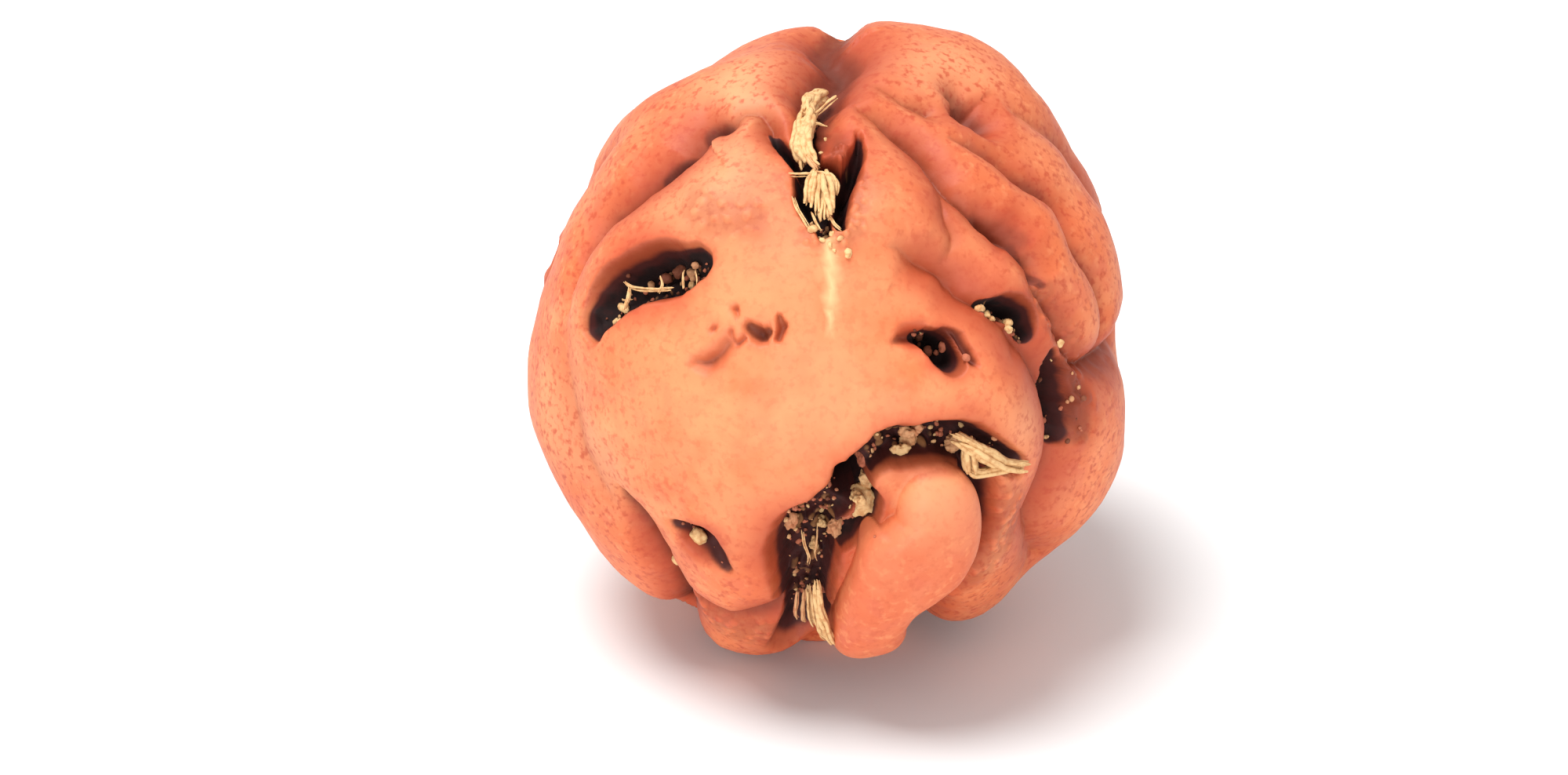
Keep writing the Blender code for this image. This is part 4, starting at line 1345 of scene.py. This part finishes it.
def keep_on_points(mesh: bpy.types.Mesh, name: str, values: np.ndarray) -> None:
    """Stores a number for each point of a mesh under a name."""
    stored = mesh.attributes.new(name, "FLOAT", "POINT")
    stored.data.foreach_set("value", np.asarray(values, np.float32))


def point_places(mesh: bpy.types.Mesh) -> np.ndarray:
    """The positions of a mesh's points, one a row."""
    flat = np.empty(len(mesh.vertices) * 3)
    mesh.vertices.foreach_get("co", flat)
    return flat.reshape(-1, 3)


def face_outwards(mesh: bpy.types.Mesh) -> None:
    """Turns every closed shell of a mesh so that its faces point outwards."""
    shape = bmesh.new()
    shape.from_mesh(mesh)
    bmesh.ops.recalc_face_normals(shape, faces=shape.faces)
    shape.to_mesh(mesh)
    shape.free()


class Recipe(Pad):
    """A Geometry Nodes tree with named inputs, which ends in plain faces with a material."""

    def __init__(self, name: str, inputs: Mapping[str, str]) -> None:
        """Makes the tree.

        Args:
            name: The tree's name.
            inputs: The kind of each input's socket, by the input's name.
        """
        super().__init__(bpy.data.node_groups.new(name, "GeometryNodeTree"))
        shape = {"Geometry": "NodeSocketGeometry"}
        for side, sockets in (("INPUT", {**shape, **inputs}), ("OUTPUT", shape)):
            for label, kind in sockets.items():
                self.tree.interface.new_socket(label, in_out=side, socket_type=kind)
        self.inputs = self.tree.nodes.new("NodeGroupInput")

    def given(self, label: str) -> Wire:
        """The input of that name."""
        return Wire(self, self.inputs.outputs[label])

    def kept(self, name: str, kind: str = "FLOAT") -> Wire:
        """A value kept on the points under that name."""
        return self.node("GeometryNodeInputNamedAttribute", {"data_type": kind}, {"Name": name})

    def toss(self, low: Any, high: Any, seed: int, vector: bool = False) -> Wire:
        """A random value for each whole curve.

        Args:
            low: The lowest value.
            high: The highest value.
            seed: Which row of random numbers is used.
            vector: Whether the value has three parts.

        Returns:
            The value.
        """
        kind, first, output = ("FLOAT_VECTOR", 0, 0) if vector else ("FLOAT", 2, 1)
        sockets = {first: low, first + 1: high, "Seed": seed}
        drawn = self.node("FunctionNodeRandomValue", {"data_type": kind}, sockets, output)
        settings = {"data_type": kind, "domain": "CURVE"}
        return self.node("GeometryNodeFieldOnDomain", settings, {0: drawn})

    def clouds(self, size: Wire | float, shift: Wire | None = None) -> Wire:
        """Noise with three parts, each about -0.5 to 0.5, over the positions.

        Args:
            size: How many clouds there are to the metre.
            shift: A vector that sets one pattern apart from another.

        Returns:
            The noise.
        """
        where = self.node("GeometryNodeInputPosition")
        if shift is not None:
            where = self.vector("ADD", where, shift)
        sockets = {"Vector": where, "Scale": size, "Detail": 2.0}
        colour = self.node("ShaderNodeTexNoise", sockets=sockets, output="Color")
        return self.vector("SUBTRACT", colour, (0.5, 0.5, 0.5))

    def scaled(self, vector: Wire, factor: Wire | float) -> Wire:
        """A vector made longer or shorter."""
        sockets = {0: vector, "Scale": factor}
        return self.node("ShaderNodeVectorMath", {"operation": "SCALE"}, sockets)

    def roughen(self, geometry: Wire, size: float, amount: Wire | float) -> Wire:
        """Moves the faces' points in and out by noise."""
        bend = self.vector("DOT_PRODUCT", self.clouds(1 / size), (1.0, 1.0, 1.0), output="Value")
        normal = self.node("GeometryNodeInputNormal")
        sockets = {"Geometry": geometry, "Offset": self.scaled(normal, bend * amount)}
        return self.node("GeometryNodeSetPosition", sockets=sockets)

    def close(self, geometry: Wire) -> None:
        """Ends the tree with smooth, plain faces in the material of its Material input."""
        smooth = self.node("GeometryNodeSetShadeSmooth", sockets={"Geometry": geometry})
        plain = self.node("GeometryNodeRealizeInstances", sockets={"Geometry": smooth})
        sockets = {"Geometry": plain, "Material": self.given("Material")}
        coated = self.node("GeometryNodeSetMaterial", sockets=sockets)
        output = self.tree.nodes.new("NodeGroupOutput")
        self.tree.links.new(coated.socket, output.inputs["Geometry"])

    def follow(
        self, name: str, guide: bpy.types.Object, values: Mapping[str, Any]
    ) -> bpy.types.Object:
        """Runs the tree on a guide and keeps the result as a plain mesh.

        Args:
            name: The new object's name.
            guide: The object that the tree starts from, which is removed.
            values: The inputs' values by name.

        Returns:
            The new object.
        """
        modifier = guide.modifiers.new("recipe", "NODES")
        modifier.node_group = self.tree
        for item in self.tree.interface.items_tree:
            if item.in_out == "INPUT" and item.name in values:
                modifier[item.identifier] = values[item.name]
        evaluated = guide.evaluated_get(bpy.context.evaluated_depsgraph_get())
        mesh = bpy.data.meshes.new_from_object(evaluated)
        bpy.data.objects.remove(guide)
        return new_object(name, mesh)


def fibre_recipe() -> Recipe:
    """Strands of many thin wavy fibrils along guide lines."""
    recipe = Recipe(
        "fibre_strands",
        {
            "Steps": "NodeSocketInt",
            "Spread": "NodeSocketFloat",
            "Waviness": "NodeSocketFloat",
            "Fibril Share": "NodeSocketFloat",
            "Raggedness": "NodeSocketFloat",
            "Sides": "NodeSocketInt",
            "Seed": "NodeSocketInt",
            "Material": "NodeSocketMaterial",
        },
    )
    wave_size, bluntness = 0.9 * MM, 0.45
    thinnest, thickest = 0.55, 1.35
    palest, brownest = -0.06, 0.10
    bark_size, bark_height = 0.15 * MM, 0.02 * MM
    seed = recipe.given("Seed")
    guides = recipe.node("GeometryNodeMeshToCurve", sockets={"Mesh": recipe.given("Geometry")})
    even = recipe.node(
        "GeometryNodeResampleCurve", sockets={"Curve": guides, "Count": recipe.given("Steps")}
    )
    many = recipe.node(
        "GeometryNodeDuplicateElements", {"domain": "SPLINE"},
        {"Geometry": even, "Amount": recipe.kept("fibrils", "INT")},
    )
    thickness = recipe.kept("thickness")
    apart = recipe.toss((-1.0, -1.0, -1.0), (1.0, 1.0, 1.0), seed, vector=True)
    shift = recipe.scaled(apart, thickness * recipe.given("Spread"))
    clouds = recipe.clouds(1 / wave_size, apart)
    waves = recipe.scaled(clouds, thickness * recipe.given("Waviness"))
    moved = recipe.node(
        "GeometryNodeSetPosition",
        sockets={"Geometry": many, "Offset": recipe.vector("ADD", shift, waves)},
    )
    along = recipe.node("GeometryNodeSplineParameter")
    ends = recipe.maths("POWER", along * (1 - along) * 4, bluntness)
    uneven = recipe.toss(thinnest, thickest, seed + 1)
    radius = thickness * recipe.given("Fibril Share") * uneven * ends
    sized = recipe.node("GeometryNodeSetCurveRadius", sockets={"Curve": moved, "Radius": radius})
    tint = recipe.kept("tint") + recipe.toss(palest, brownest, seed + 2)
    tinted = recipe.node(
        "GeometryNodeStoreNamedAttribute", {"data_type": "FLOAT", "domain": "POINT"},
        {"Geometry": sized, "Name": "tint", "Value": tint},
    )
    ragged = recipe.given("Raggedness")
    trimmed = recipe.node(
        "GeometryNodeTrimCurve", {"mode": "FACTOR"},
        {
            "Curve": tinted,
            2: recipe.toss(0.0, 1.0, seed + 3) * ragged,
            3: 1 - recipe.toss(0.0, 1.0, seed + 4) * ragged,
        },
    )
    ring = recipe.node(
        "GeometryNodeCurvePrimitiveCircle", {"mode": "RADIUS"},
        {"Resolution": recipe.given("Sides"), "Radius": 1.0},
    )
    tubes = recipe.node(
        "GeometryNodeCurveToMesh",
        sockets={
            "Curve": trimmed,
            "Profile Curve": ring,
            "Scale": recipe.node("GeometryNodeInputRadius"),
            "Fill Caps": True,
        },
    )
    recipe.close(recipe.roughen(tubes, bark_size, bark_height))
    return recipe


def crumb_recipe() -> Recipe:
    """Lumpy crumbs on points that keep their size, turn and tint."""
    recipe = Recipe(
        "crumbs",
        {
            "Fineness": "NodeSocketInt",
            "Lump Height": "NodeSocketFloat",
            "Material": "NodeSocketMaterial",
        },
    )
    lump_size, grain_size, grain_share = 0.35 * MM, 0.12 * MM, 0.35
    ball = recipe.node(
        "GeometryNodeMeshIcoSphere",
        sockets={"Radius": 1.0, "Subdivisions": recipe.given("Fineness")},
    )
    turn = recipe.node(
        "FunctionNodeEulerToRotation", sockets={"Euler": recipe.kept("facing", "FLOAT_VECTOR")}
    )
    placed = recipe.node(
        "GeometryNodeInstanceOnPoints",
        sockets={
            "Points": recipe.given("Geometry"),
            "Instance": ball,
            "Rotation": turn,
            "Scale": recipe.kept("size", "FLOAT_VECTOR"),
        },
    )
    real = recipe.node("GeometryNodeRealizeInstances", sockets={"Geometry": placed})
    lump_height = recipe.given("Lump Height")
    lumpy = recipe.roughen(real, lump_size, lump_height)
    recipe.close(recipe.roughen(lumpy, grain_size, lump_height * grain_share))
    return recipe


@dataclass
class Tuft:
    """Strands of dried fibre, each made of many fibrils."""

    name: str
    strands: tuple[Strand, ...]
    relief: Relief
    replaced: str | None = None
    steps: int = 22
    knot_steps: int = 6
    spread: float = 0.85
    waviness: float = 1.6
    fibril_share: float = 0.42
    raggedness: float = 0.10
    sides: int = 6
    seed: int = 3

    def guides(self) -> bpy.types.Object:
        """The strands' middle lines, with their thickness, fibrils and tint on the points."""
        places, edges, thickness, fibrils, tint = [], [], [], [], []
        for strand in self.strands:
            line = smooth_line(self.relief.points(strand.line), self.knot_steps)
            first = len(places)
            places.extend(line)
            edges.extend((first + i, first + i + 1) for i in range(len(line) - 1))
            thickness.extend([strand.half_thickness * MM] * len(line))
            fibrils.extend([strand.fibrils] * len(line))
            tint.extend([strand.tint] * len(line))
        mesh = bpy.data.meshes.new(self.name)
        mesh.from_pydata([tuple(place) for place in places], edges, [])
        keep_on_points(mesh, "thickness", thickness)
        keep_on_points(mesh, "tint", tint)
        counts = mesh.attributes.new("fibrils", "INT", "POINT")
        counts.data.foreach_set("value", np.asarray(fibrils, np.int32))
        return new_object(self.name, mesh)

    def build(self, recipe: Recipe, material: bpy.types.Material) -> bpy.types.Object:
        """Makes the tuft.

        Args:
            recipe: The strands' node tree.
            material: The fibre's material.

        Returns:
            The finished tuft.
        """
        values = {
            "Steps": self.steps,
            "Spread": self.spread,
            "Waviness": self.waviness,
            "Fibril Share": self.fibril_share,
            "Raggedness": self.raggedness,
            "Sides": self.sides,
            "Seed": self.seed,
            "Material": material,
        }
        tuft = recipe.follow(self.name, self.guides(), values)
        face_outwards(tuft.data)
        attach(tuft, "root")
        if self.replaced:
            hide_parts(self.replaced)
        return tuft


@dataclass
class Dust:
    """Tiny crumbs strewn at random along the floors of named hollows."""

    counts: Mapping[str, int]
    size: tuple[float, float] = (0.06, 0.22)
    flatness: float = 0.7
    width_share: float = 0.75
    palest: float = 0.10
    brownest: float = 0.95
    highest: float = 11.9
    lift: float = 0.4
    seed: int = 8

    def dots(self, relief: Relief, skin: BVHTree) -> tuple[Dot, ...]:
        """The crumbs' places, sizes and tints, without those that would land on the trunk.

        Args:
            relief: The stone's shape, with the hollows.
            skin: The stone's surface.

        Returns:
            The crumbs.
        """
        draw = random.Random(self.seed)
        core = Vector((0.0, 0.0, relief.core_height * MM))
        found = []
        for name, count in self.counts.items():
            hollow = relief.hollows[name]
            line = np.array(hollow.line)
            for _ in range(count):
                along = draw.uniform(0, len(line) - 1)
                lon, lat, share = (np.interp(along, range(len(line)), row) for row in line.T)
                half_width = hollow.half_width * share * self.width_share
                reach = math.degrees(half_width / relief.core_radius)
                lat += draw.uniform(-reach, reach)
                lon += draw.uniform(-reach, reach) / math.cos(math.radians(lat))
                wide = draw.uniform(*self.size)
                size = (wide, wide * draw.uniform(self.flatness, 1.0), wide * self.flatness)
                tint = draw.uniform(self.palest, self.brownest)
                dot = Dot(lon, lat, size, draw.uniform(0, 180), tint, self.lift)
                if skin.ray_cast(core, Vector(direction(lon, lat)))[3] < self.highest * MM:
                    found.append(dot)
        return tuple(found)


@dataclass
class Crumbs:
    """Small lumps of dried pulp that sit on the stone."""

    name: str
    dots: tuple[Dot, ...]
    relief: Relief
    fineness: int = 3
    lump_height: float = 0.10

    def seat(self, dot: Dot, skin: BVHTree) -> tuple[Vector, Vector]:
        """Where a dot's middle lies, and how it is turned.

        Args:
            dot: The lump.
            skin: The stone's surface.

        Returns:
            The middle in metres, and the turn as angles about X, Y and Z.
        """
        out = Vector(direction(dot.longitude, dot.latitude))
        core = Vector((0.0, 0.0, self.relief.core_height * MM))
        hit = skin.ray_cast(core, out)[0]
        turn = out.to_track_quat("Z", "Y") @ Quaternion((0.0, 0.0, 1.0), math.radians(dot.turn))
        return hit + out * (dot.lift * dot.size[2] * MM), Vector(turn.to_euler())

    def build(
        self, recipe: Recipe, skin: BVHTree, material: bpy.types.Material
    ) -> bpy.types.Object:
        """Makes the lumps.

        Args:
            recipe: The crumbs' node tree.
            skin: The stone's surface, which they sit on.
            material: The fibre's material.

        Returns:
            The finished lumps, as one piece.
        """
        seats = [self.seat(dot, skin) for dot in self.dots]
        mesh = bpy.data.meshes.new(self.name)
        mesh.from_pydata([tuple(place) for place, _ in seats], [], [])
        keep_on_points(mesh, "tint", [dot.tint for dot in self.dots])
        half_sizes = [np.array(dot.size) / 2 * MM for dot in self.dots]
        for label, rows in (("size", half_sizes), ("facing", [turn for _, turn in seats])):
            stored = mesh.attributes.new(label, "FLOAT_VECTOR", "POINT")
            stored.data.foreach_set("vector", np.array(rows, np.float32).ravel())
        values = {
            "Fineness": self.fineness,
            "Lump Height": self.lump_height * MM,
            "Material": material,
        }
        crumbs = recipe.follow(self.name, new_object(self.name, mesh), values)
        face_outwards(crumbs.data)
        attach(crumbs, "root")
        return crumbs


@dataclass
class Trunk:
    """The trunk-like lobe: a thick pad with rounded ends that follows its spine down the front.

    The spine's rows are (longitude, latitude, half width in mm, distance from the core's centre
    in mm), from the top to the tip.
    """

    relief: Relief
    spine: tuple[tuple[float, float, float, float], ...] = (
        (18.7, 2.6, 1.45, 10.60),
        (19.5, -2.2, 1.60, 10.72),
        (20.2, -7.5, 1.66, 10.75),
        (18.9, -12.4, 1.86, 10.80),
        (16.4, -16.6, 2.06, 10.80),
        (13.8, -20.5, 1.80, 10.85),
        (11.6, -24.0, 1.48, 10.90),
        (10.0, -28.0, 1.36, 11.00),
        (9.2, -33.0, 1.40, 11.08),
        (10.0, -38.5, 1.62, 11.10),
        (12.0, -43.2, 1.42, 11.06),
    )
    half_thickness: float = 1.60
    squareness: float = 2.9
    steps: int = 8
    subdivisions: int = 6
    unevenness: tuple[tuple[float, float], ...] = ((2.2, 0.10), (0.8, 0.03))

    def build(self) -> bpy.types.Object:
        """Makes the pad as a closed mesh.

        Returns:
            The pad, still apart from the stone.
        """
        shape = bmesh.new()
        bmesh.ops.create_icosphere(shape, subdivisions=self.subdivisions, radius=1.0)
        corners = unit(np.array([vertex.co for vertex in shape.verts]))
        power = self.squareness
        corners /= (np.abs(corners) ** power).sum(axis=1)[:, None] ** (1 / power)
        across, along, out = corners.T

        knots = [(*direction(lon, lat), *sizes) for lon, lat, *sizes in self.spine]
        line = smooth_line(knots, self.steps)
        slope = np.gradient(line[:, :3], axis=0)
        travel = np.linspace(-1.0, 1.0, len(line))
        at = [np.interp(-along, travel, column) for column in np.hstack((line, slope)).T]
        middle = unit(np.array(at[:3]).T)
        half_width, radius = at[3], at[4]
        side = unit(np.cross(middle, np.array(at[5:]).T))
        turn = (across * half_width / radius)[:, None]
        places = np.cos(turn) * middle + np.sin(turn) * side
        high = radius + out * self.half_thickness
        for size, amount in self.unevenness:
            high += amount * lumps(places, self.relief.core_radius / size)
        positions = places * high[:, None] * MM + (0, 0, self.relief.core_height * MM)
        for vertex, position in zip(shape.verts, positions):
            vertex.co = position
        mesh = bpy.data.meshes.new("trunk_pad")
        shape.to_mesh(mesh)
        shape.free()
        return new_object("trunk_pad", mesh)


@dataclass
class Stone:
    """The stone with its trunk, as one mesh that stands on its flat spot."""

    relief: Relief
    trunk: Trunk
    finish: StoneFinish = field(default_factory=StoneFinish)
    coarsest: int = 6
    passes: int = 3
    smooth_within: float = 0.015
    stain_and_shade_within: float = 0.10
    stands_off: tuple[float, float] = (0.05, 0.6)
    tones: tuple[Swell, ...] = TONES
    pale_lines: tuple[tuple[float, float, tuple[Knot, ...]], ...] = (
        (0.17, 0.6, ((0.3, 44, 1.0), (0.6, 40, 1.3), (1.0, 36, 0.9), (0.6, 31, 0.5),
                     (0.3, 27, 0.1))),
    )

    def rough_edges(self, shape: bmesh.types.BMesh, known: int) -> list[bmesh.types.BMEdge]:
        """The edges whose middle is off the true surface, or whose stains and painted shade change
        on the way.

        Args:
            shape: The ball so far.
            known: How many of its points are older than the last pass.

        Returns:
            The edges that have to be split.
        """
        for parts in (shape.verts, shape.edges):
            parts.index_update()
            parts.ensure_lookup_table()
        ends = np.array([[end.index for end in edge.verts] for edge in shape.edges])
        fresh = np.flatnonzero(ends.max(axis=1) >= known)
        used, where = np.unique(ends[fresh], return_inverse=True)
        places = unit(np.array([shape.verts[index].co for index in used]))
        pairs = where.reshape(-1, 2)
        middles = unit(places[pairs].sum(axis=1))
        at_ends, at_middles = self.relief.survey(places), self.relief.survey(middles)
        error = np.abs(at_ends.radius[pairs].mean(axis=1) - at_middles.radius)
        rough = error > self.smooth_within
        for name in ("dark", "crease"):
            drift = np.ptp(at_ends.stains_and_shade[name][pairs], axis=1)
            rough |= drift > self.stain_and_shade_within
        return [shape.edges[index] for index in fresh[rough]]

    def fine_ball(self) -> tuple[bmesh.types.BMesh, np.ndarray]:
        """A ball of triangles that get smaller only where the stone needs them.

        Returns:
            The ball and the unit vectors of its points.
        """
        shape = bmesh.new()
        bmesh.ops.create_icosphere(shape, subdivisions=self.coarsest, radius=1.0)
        known = 0
        for _ in range(self.passes):
            rough = self.rough_edges(shape, known)
            known = len(shape.verts)
            bmesh.ops.subdivide_edges(shape, edges=rough, cuts=1, use_grid_fill=True)
            bmesh.ops.triangulate(shape, faces=shape.faces)
            LOG.info("stone: %d faces", len(shape.faces))
        return shape, unit(np.array([vertex.co for vertex in shape.verts]))

    def build(self) -> bpy.types.Object:
        """Makes the stone, joins the trunk to it and marks its stains and painted shade.

        Returns:
            The finished stone.
        """
        shape, places = self.fine_ball()
        radius = self.relief.survey(places).radius
        core = (0, 0, self.relief.core_height * MM)
        for vertex, position in zip(shape.verts, places * radius[:, None] * MM + core):
            vertex.co = position
        mesh = bpy.data.meshes.new("stone_ball")
        shape.to_mesh(mesh)
        shape.free()
        ball = new_object("stone_ball", mesh)
        pad = self.trunk.build()
        joined = ball.modifiers.new("trunk", "BOOLEAN")
        joined.operation = "UNION"
        joined.solver = "MANIFOLD"
        joined.object = pad
        evaluated = ball.evaluated_get(bpy.context.evaluated_depsgraph_get())
        whole = bpy.data.meshes.new_from_object(evaluated)
        for part in (ball, pad):
            bpy.data.objects.remove(part)
        self.stand(whole)
        self.stain_and_shade(whole)
        return new_object("stone", whole)

    def stand(self, mesh: bpy.types.Mesh) -> None:
        """Flattens what lies under the rest plane, and shades the stone smooth."""
        places = point_places(mesh)
        places[:, 2] = np.maximum(places[:, 2], 0.0)
        mesh.vertices.foreach_set("co", places.ravel())
        mesh.shade_smooth()
        mesh.update()

    def stain_and_shade(self, mesh: bpy.types.Mesh) -> None:
        """Keeps the stains with their painted shade, and the pale lines, on the mesh's points."""
        away = point_places(mesh) - (0, 0, self.relief.core_height * MM)
        radius = np.linalg.norm(away, axis=1) / MM
        places = unit(away)
        survey = self.relief.survey(places)
        bare = 1 - ramp(radius - survey.radius, *self.stands_off)
        for name, values in survey.stains_and_shade.items():
            keep_on_points(mesh, name, values * bare)
        pale = np.zeros(len(places))
        for half_width, strength, line in self.pale_lines:
            knots = [(*direction(lon, lat), share) for lon, lat, share in line]
            gap, share = near_line(places, smooth_line(knots))
            reach = half_width * share / self.relief.core_radius
            pale = np.maximum(pale, strength * np.exp(-((gap / reach) ** 2)))
        keep_on_points(mesh, "pale", pale)
        keep_on_points(mesh, "tone", self.relief.swell(places, self.tones))
        keep_on_points(mesh, "trunk", 1 - bare)

    def dress(self, stone: bpy.types.Object) -> None:
        """Gives the stone its look and its place in the frame."""
        stone.data.materials.clear()
        stone.data.materials.append(self.finish.material())
        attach(stone, "root")
        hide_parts("bead")


@dataclass(frozen=True)
class Sun:
    """A soft, distant light: its strength, how wide it looks in degrees, and where it is."""

    name: str
    strength: float
    spread: float
    coming_from: tuple[float, float, float]


@dataclass
class Studio:
    """The floor, the soft light and the camera."""

    target: tuple[float, float, float] = (0.0, 0.0, 10.6 * MM)
    elevation: float = 27.0
    distance: float = 158.0 * MM
    lens: float = 100.0
    sensor: float = 36.0
    nearest_seen: float = MM
    image_width: int = 2000
    target_pixel: tuple[float, float] = (54.0, 63.0)  # right of and above the image's middle
    floor_size: float = 3.0
    floor_colour: Colour = (0.80, 0.81, 0.81, 1.0)
    floor_roughness: float = 0.9
    floor_specular: float = 0.1
    sky_strength: float = 0.70
    suns: tuple[Sun, ...] = (
        Sun("key_light", 3.1, 30, (-0.30, -0.06, 1.00)),
        Sun("front_fill", 2.1, 30, (-0.10, -1.00, 0.05)),
    )

    @staticmethod
    def aim(thing: bpy.types.Object, way: Vector) -> None:
        """Turns a camera or lamp to look along a direction."""
        thing.rotation_euler = way.to_track_quat("-Z", "Y").to_euler()

    def place_camera(self) -> None:
        """Stands the camera where the photograph was taken from."""
        tilt = math.radians(self.elevation)
        toward = Vector((0.0, -math.cos(tilt), math.sin(tilt)))
        right = Vector((1.0, 0.0, 0.0))
        up = toward.cross(right)
        camera = bpy.data.objects.new("camera", bpy.data.cameras.new("camera"))
        bpy.context.scene.collection.objects.link(camera)
        camera.data.lens = self.lens
        camera.data.sensor_width = self.sensor
        camera.data.clip_start = self.nearest_seen
        camera.location = Vector(self.target) + toward * self.distance
        pixels = self.lens * self.image_width / self.sensor
        aside, above = self.target_pixel
        self.aim(camera, -toward * pixels - right * aside - up * above)
        bpy.context.scene.camera = camera

    def light(self) -> None:
        """Lights the scene with a white sky and soft suns, and shows its colours unchanged."""
        world = bpy.data.worlds.new("white_sky")
        world.use_nodes = True
        sky = world.node_tree.nodes["Background"]
        sky.inputs["Color"].default_value = (1.0, 1.0, 1.0, 1.0)
        sky.inputs["Strength"].default_value = self.sky_strength
        bpy.context.scene.world = world
        for sun in self.suns:
            lamp = bpy.data.objects.new(sun.name, bpy.data.lights.new(sun.name, "SUN"))
            lamp.data.energy = sun.strength
            lamp.data.angle = math.radians(sun.spread)
            self.aim(lamp, -Vector(sun.coming_from))
            bpy.context.scene.collection.objects.link(lamp)
        bpy.context.scene.view_settings.view_transform = "Standard"

    def floor(self) -> None:
        """Lays the white floor."""
        shape = bmesh.new()
        bmesh.ops.create_grid(shape, x_segments=1, y_segments=1, size=self.floor_size / 2)
        mesh = bpy.data.meshes.new("floor")
        shape.to_mesh(mesh)
        shape.free()
        material, pad = new_material("white_floor")
        pad.coat(self.floor_colour, self.floor_roughness, self.floor_specular)
        mesh.materials.append(material)
        new_object("floor", mesh)


def main() -> None:
    """Builds the bead in order and reports each piece."""
    logging.basicConfig(level=logging.INFO, format="%(message)s")
    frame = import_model()
    LOG.info("solids: %s", ", ".join(sorted(frame["nodes"])))
    studio = Studio()
    studio.place_camera()
    studio.light()
    studio.floor()

    relief = Relief()
    stone = Stone(relief, Trunk(relief))
    bead = stone.build()
    stone.dress(bead)
    pieces = [bead]
    skin = BVHTree.FromObject(bead, bpy.context.evaluated_depsgraph_get())
    fibre, strands, grains = FibreFinish().material(), fibre_recipe(), crumb_recipe()
    for tuft in (
        Tuft("cleft_fibres", CLEFT_STRANDS, relief, "cleft_fibre"),
        Tuft("gap_splinter", SPLINTER_STRANDS, relief, "gap_fibre", waviness=0.8),
        Tuft("gap_fibres", GAP_STRANDS, relief),
        Tuft("pit_threads", PIT_THREADS, relief, waviness=2.0),
    ):
        pieces.append(tuft.build(strands, fibre))
    dust = Dust(SCATTERED).dots(relief, skin)
    for crumbs in (
        Crumbs("cleft_crumbs", CLEFT_CRUMBS, relief, lump_height=0.16),
        Crumbs("gap_lumps", GAP_LUMPS, relief, fineness=4, lump_height=0.32),
        Crumbs("pit_flecks", PIT_FLECKS, relief, lump_height=0.18),
        Crumbs("pit_dust", dust, relief, fineness=2, lump_height=0.16),
    ):
        pieces.append(crumbs.build(grains, skin, fibre))
    for piece in pieces:
        LOG.info("%s: %d faces", piece.name, len(piece.data.polygons))


if __name__ == "__main__":
    main()
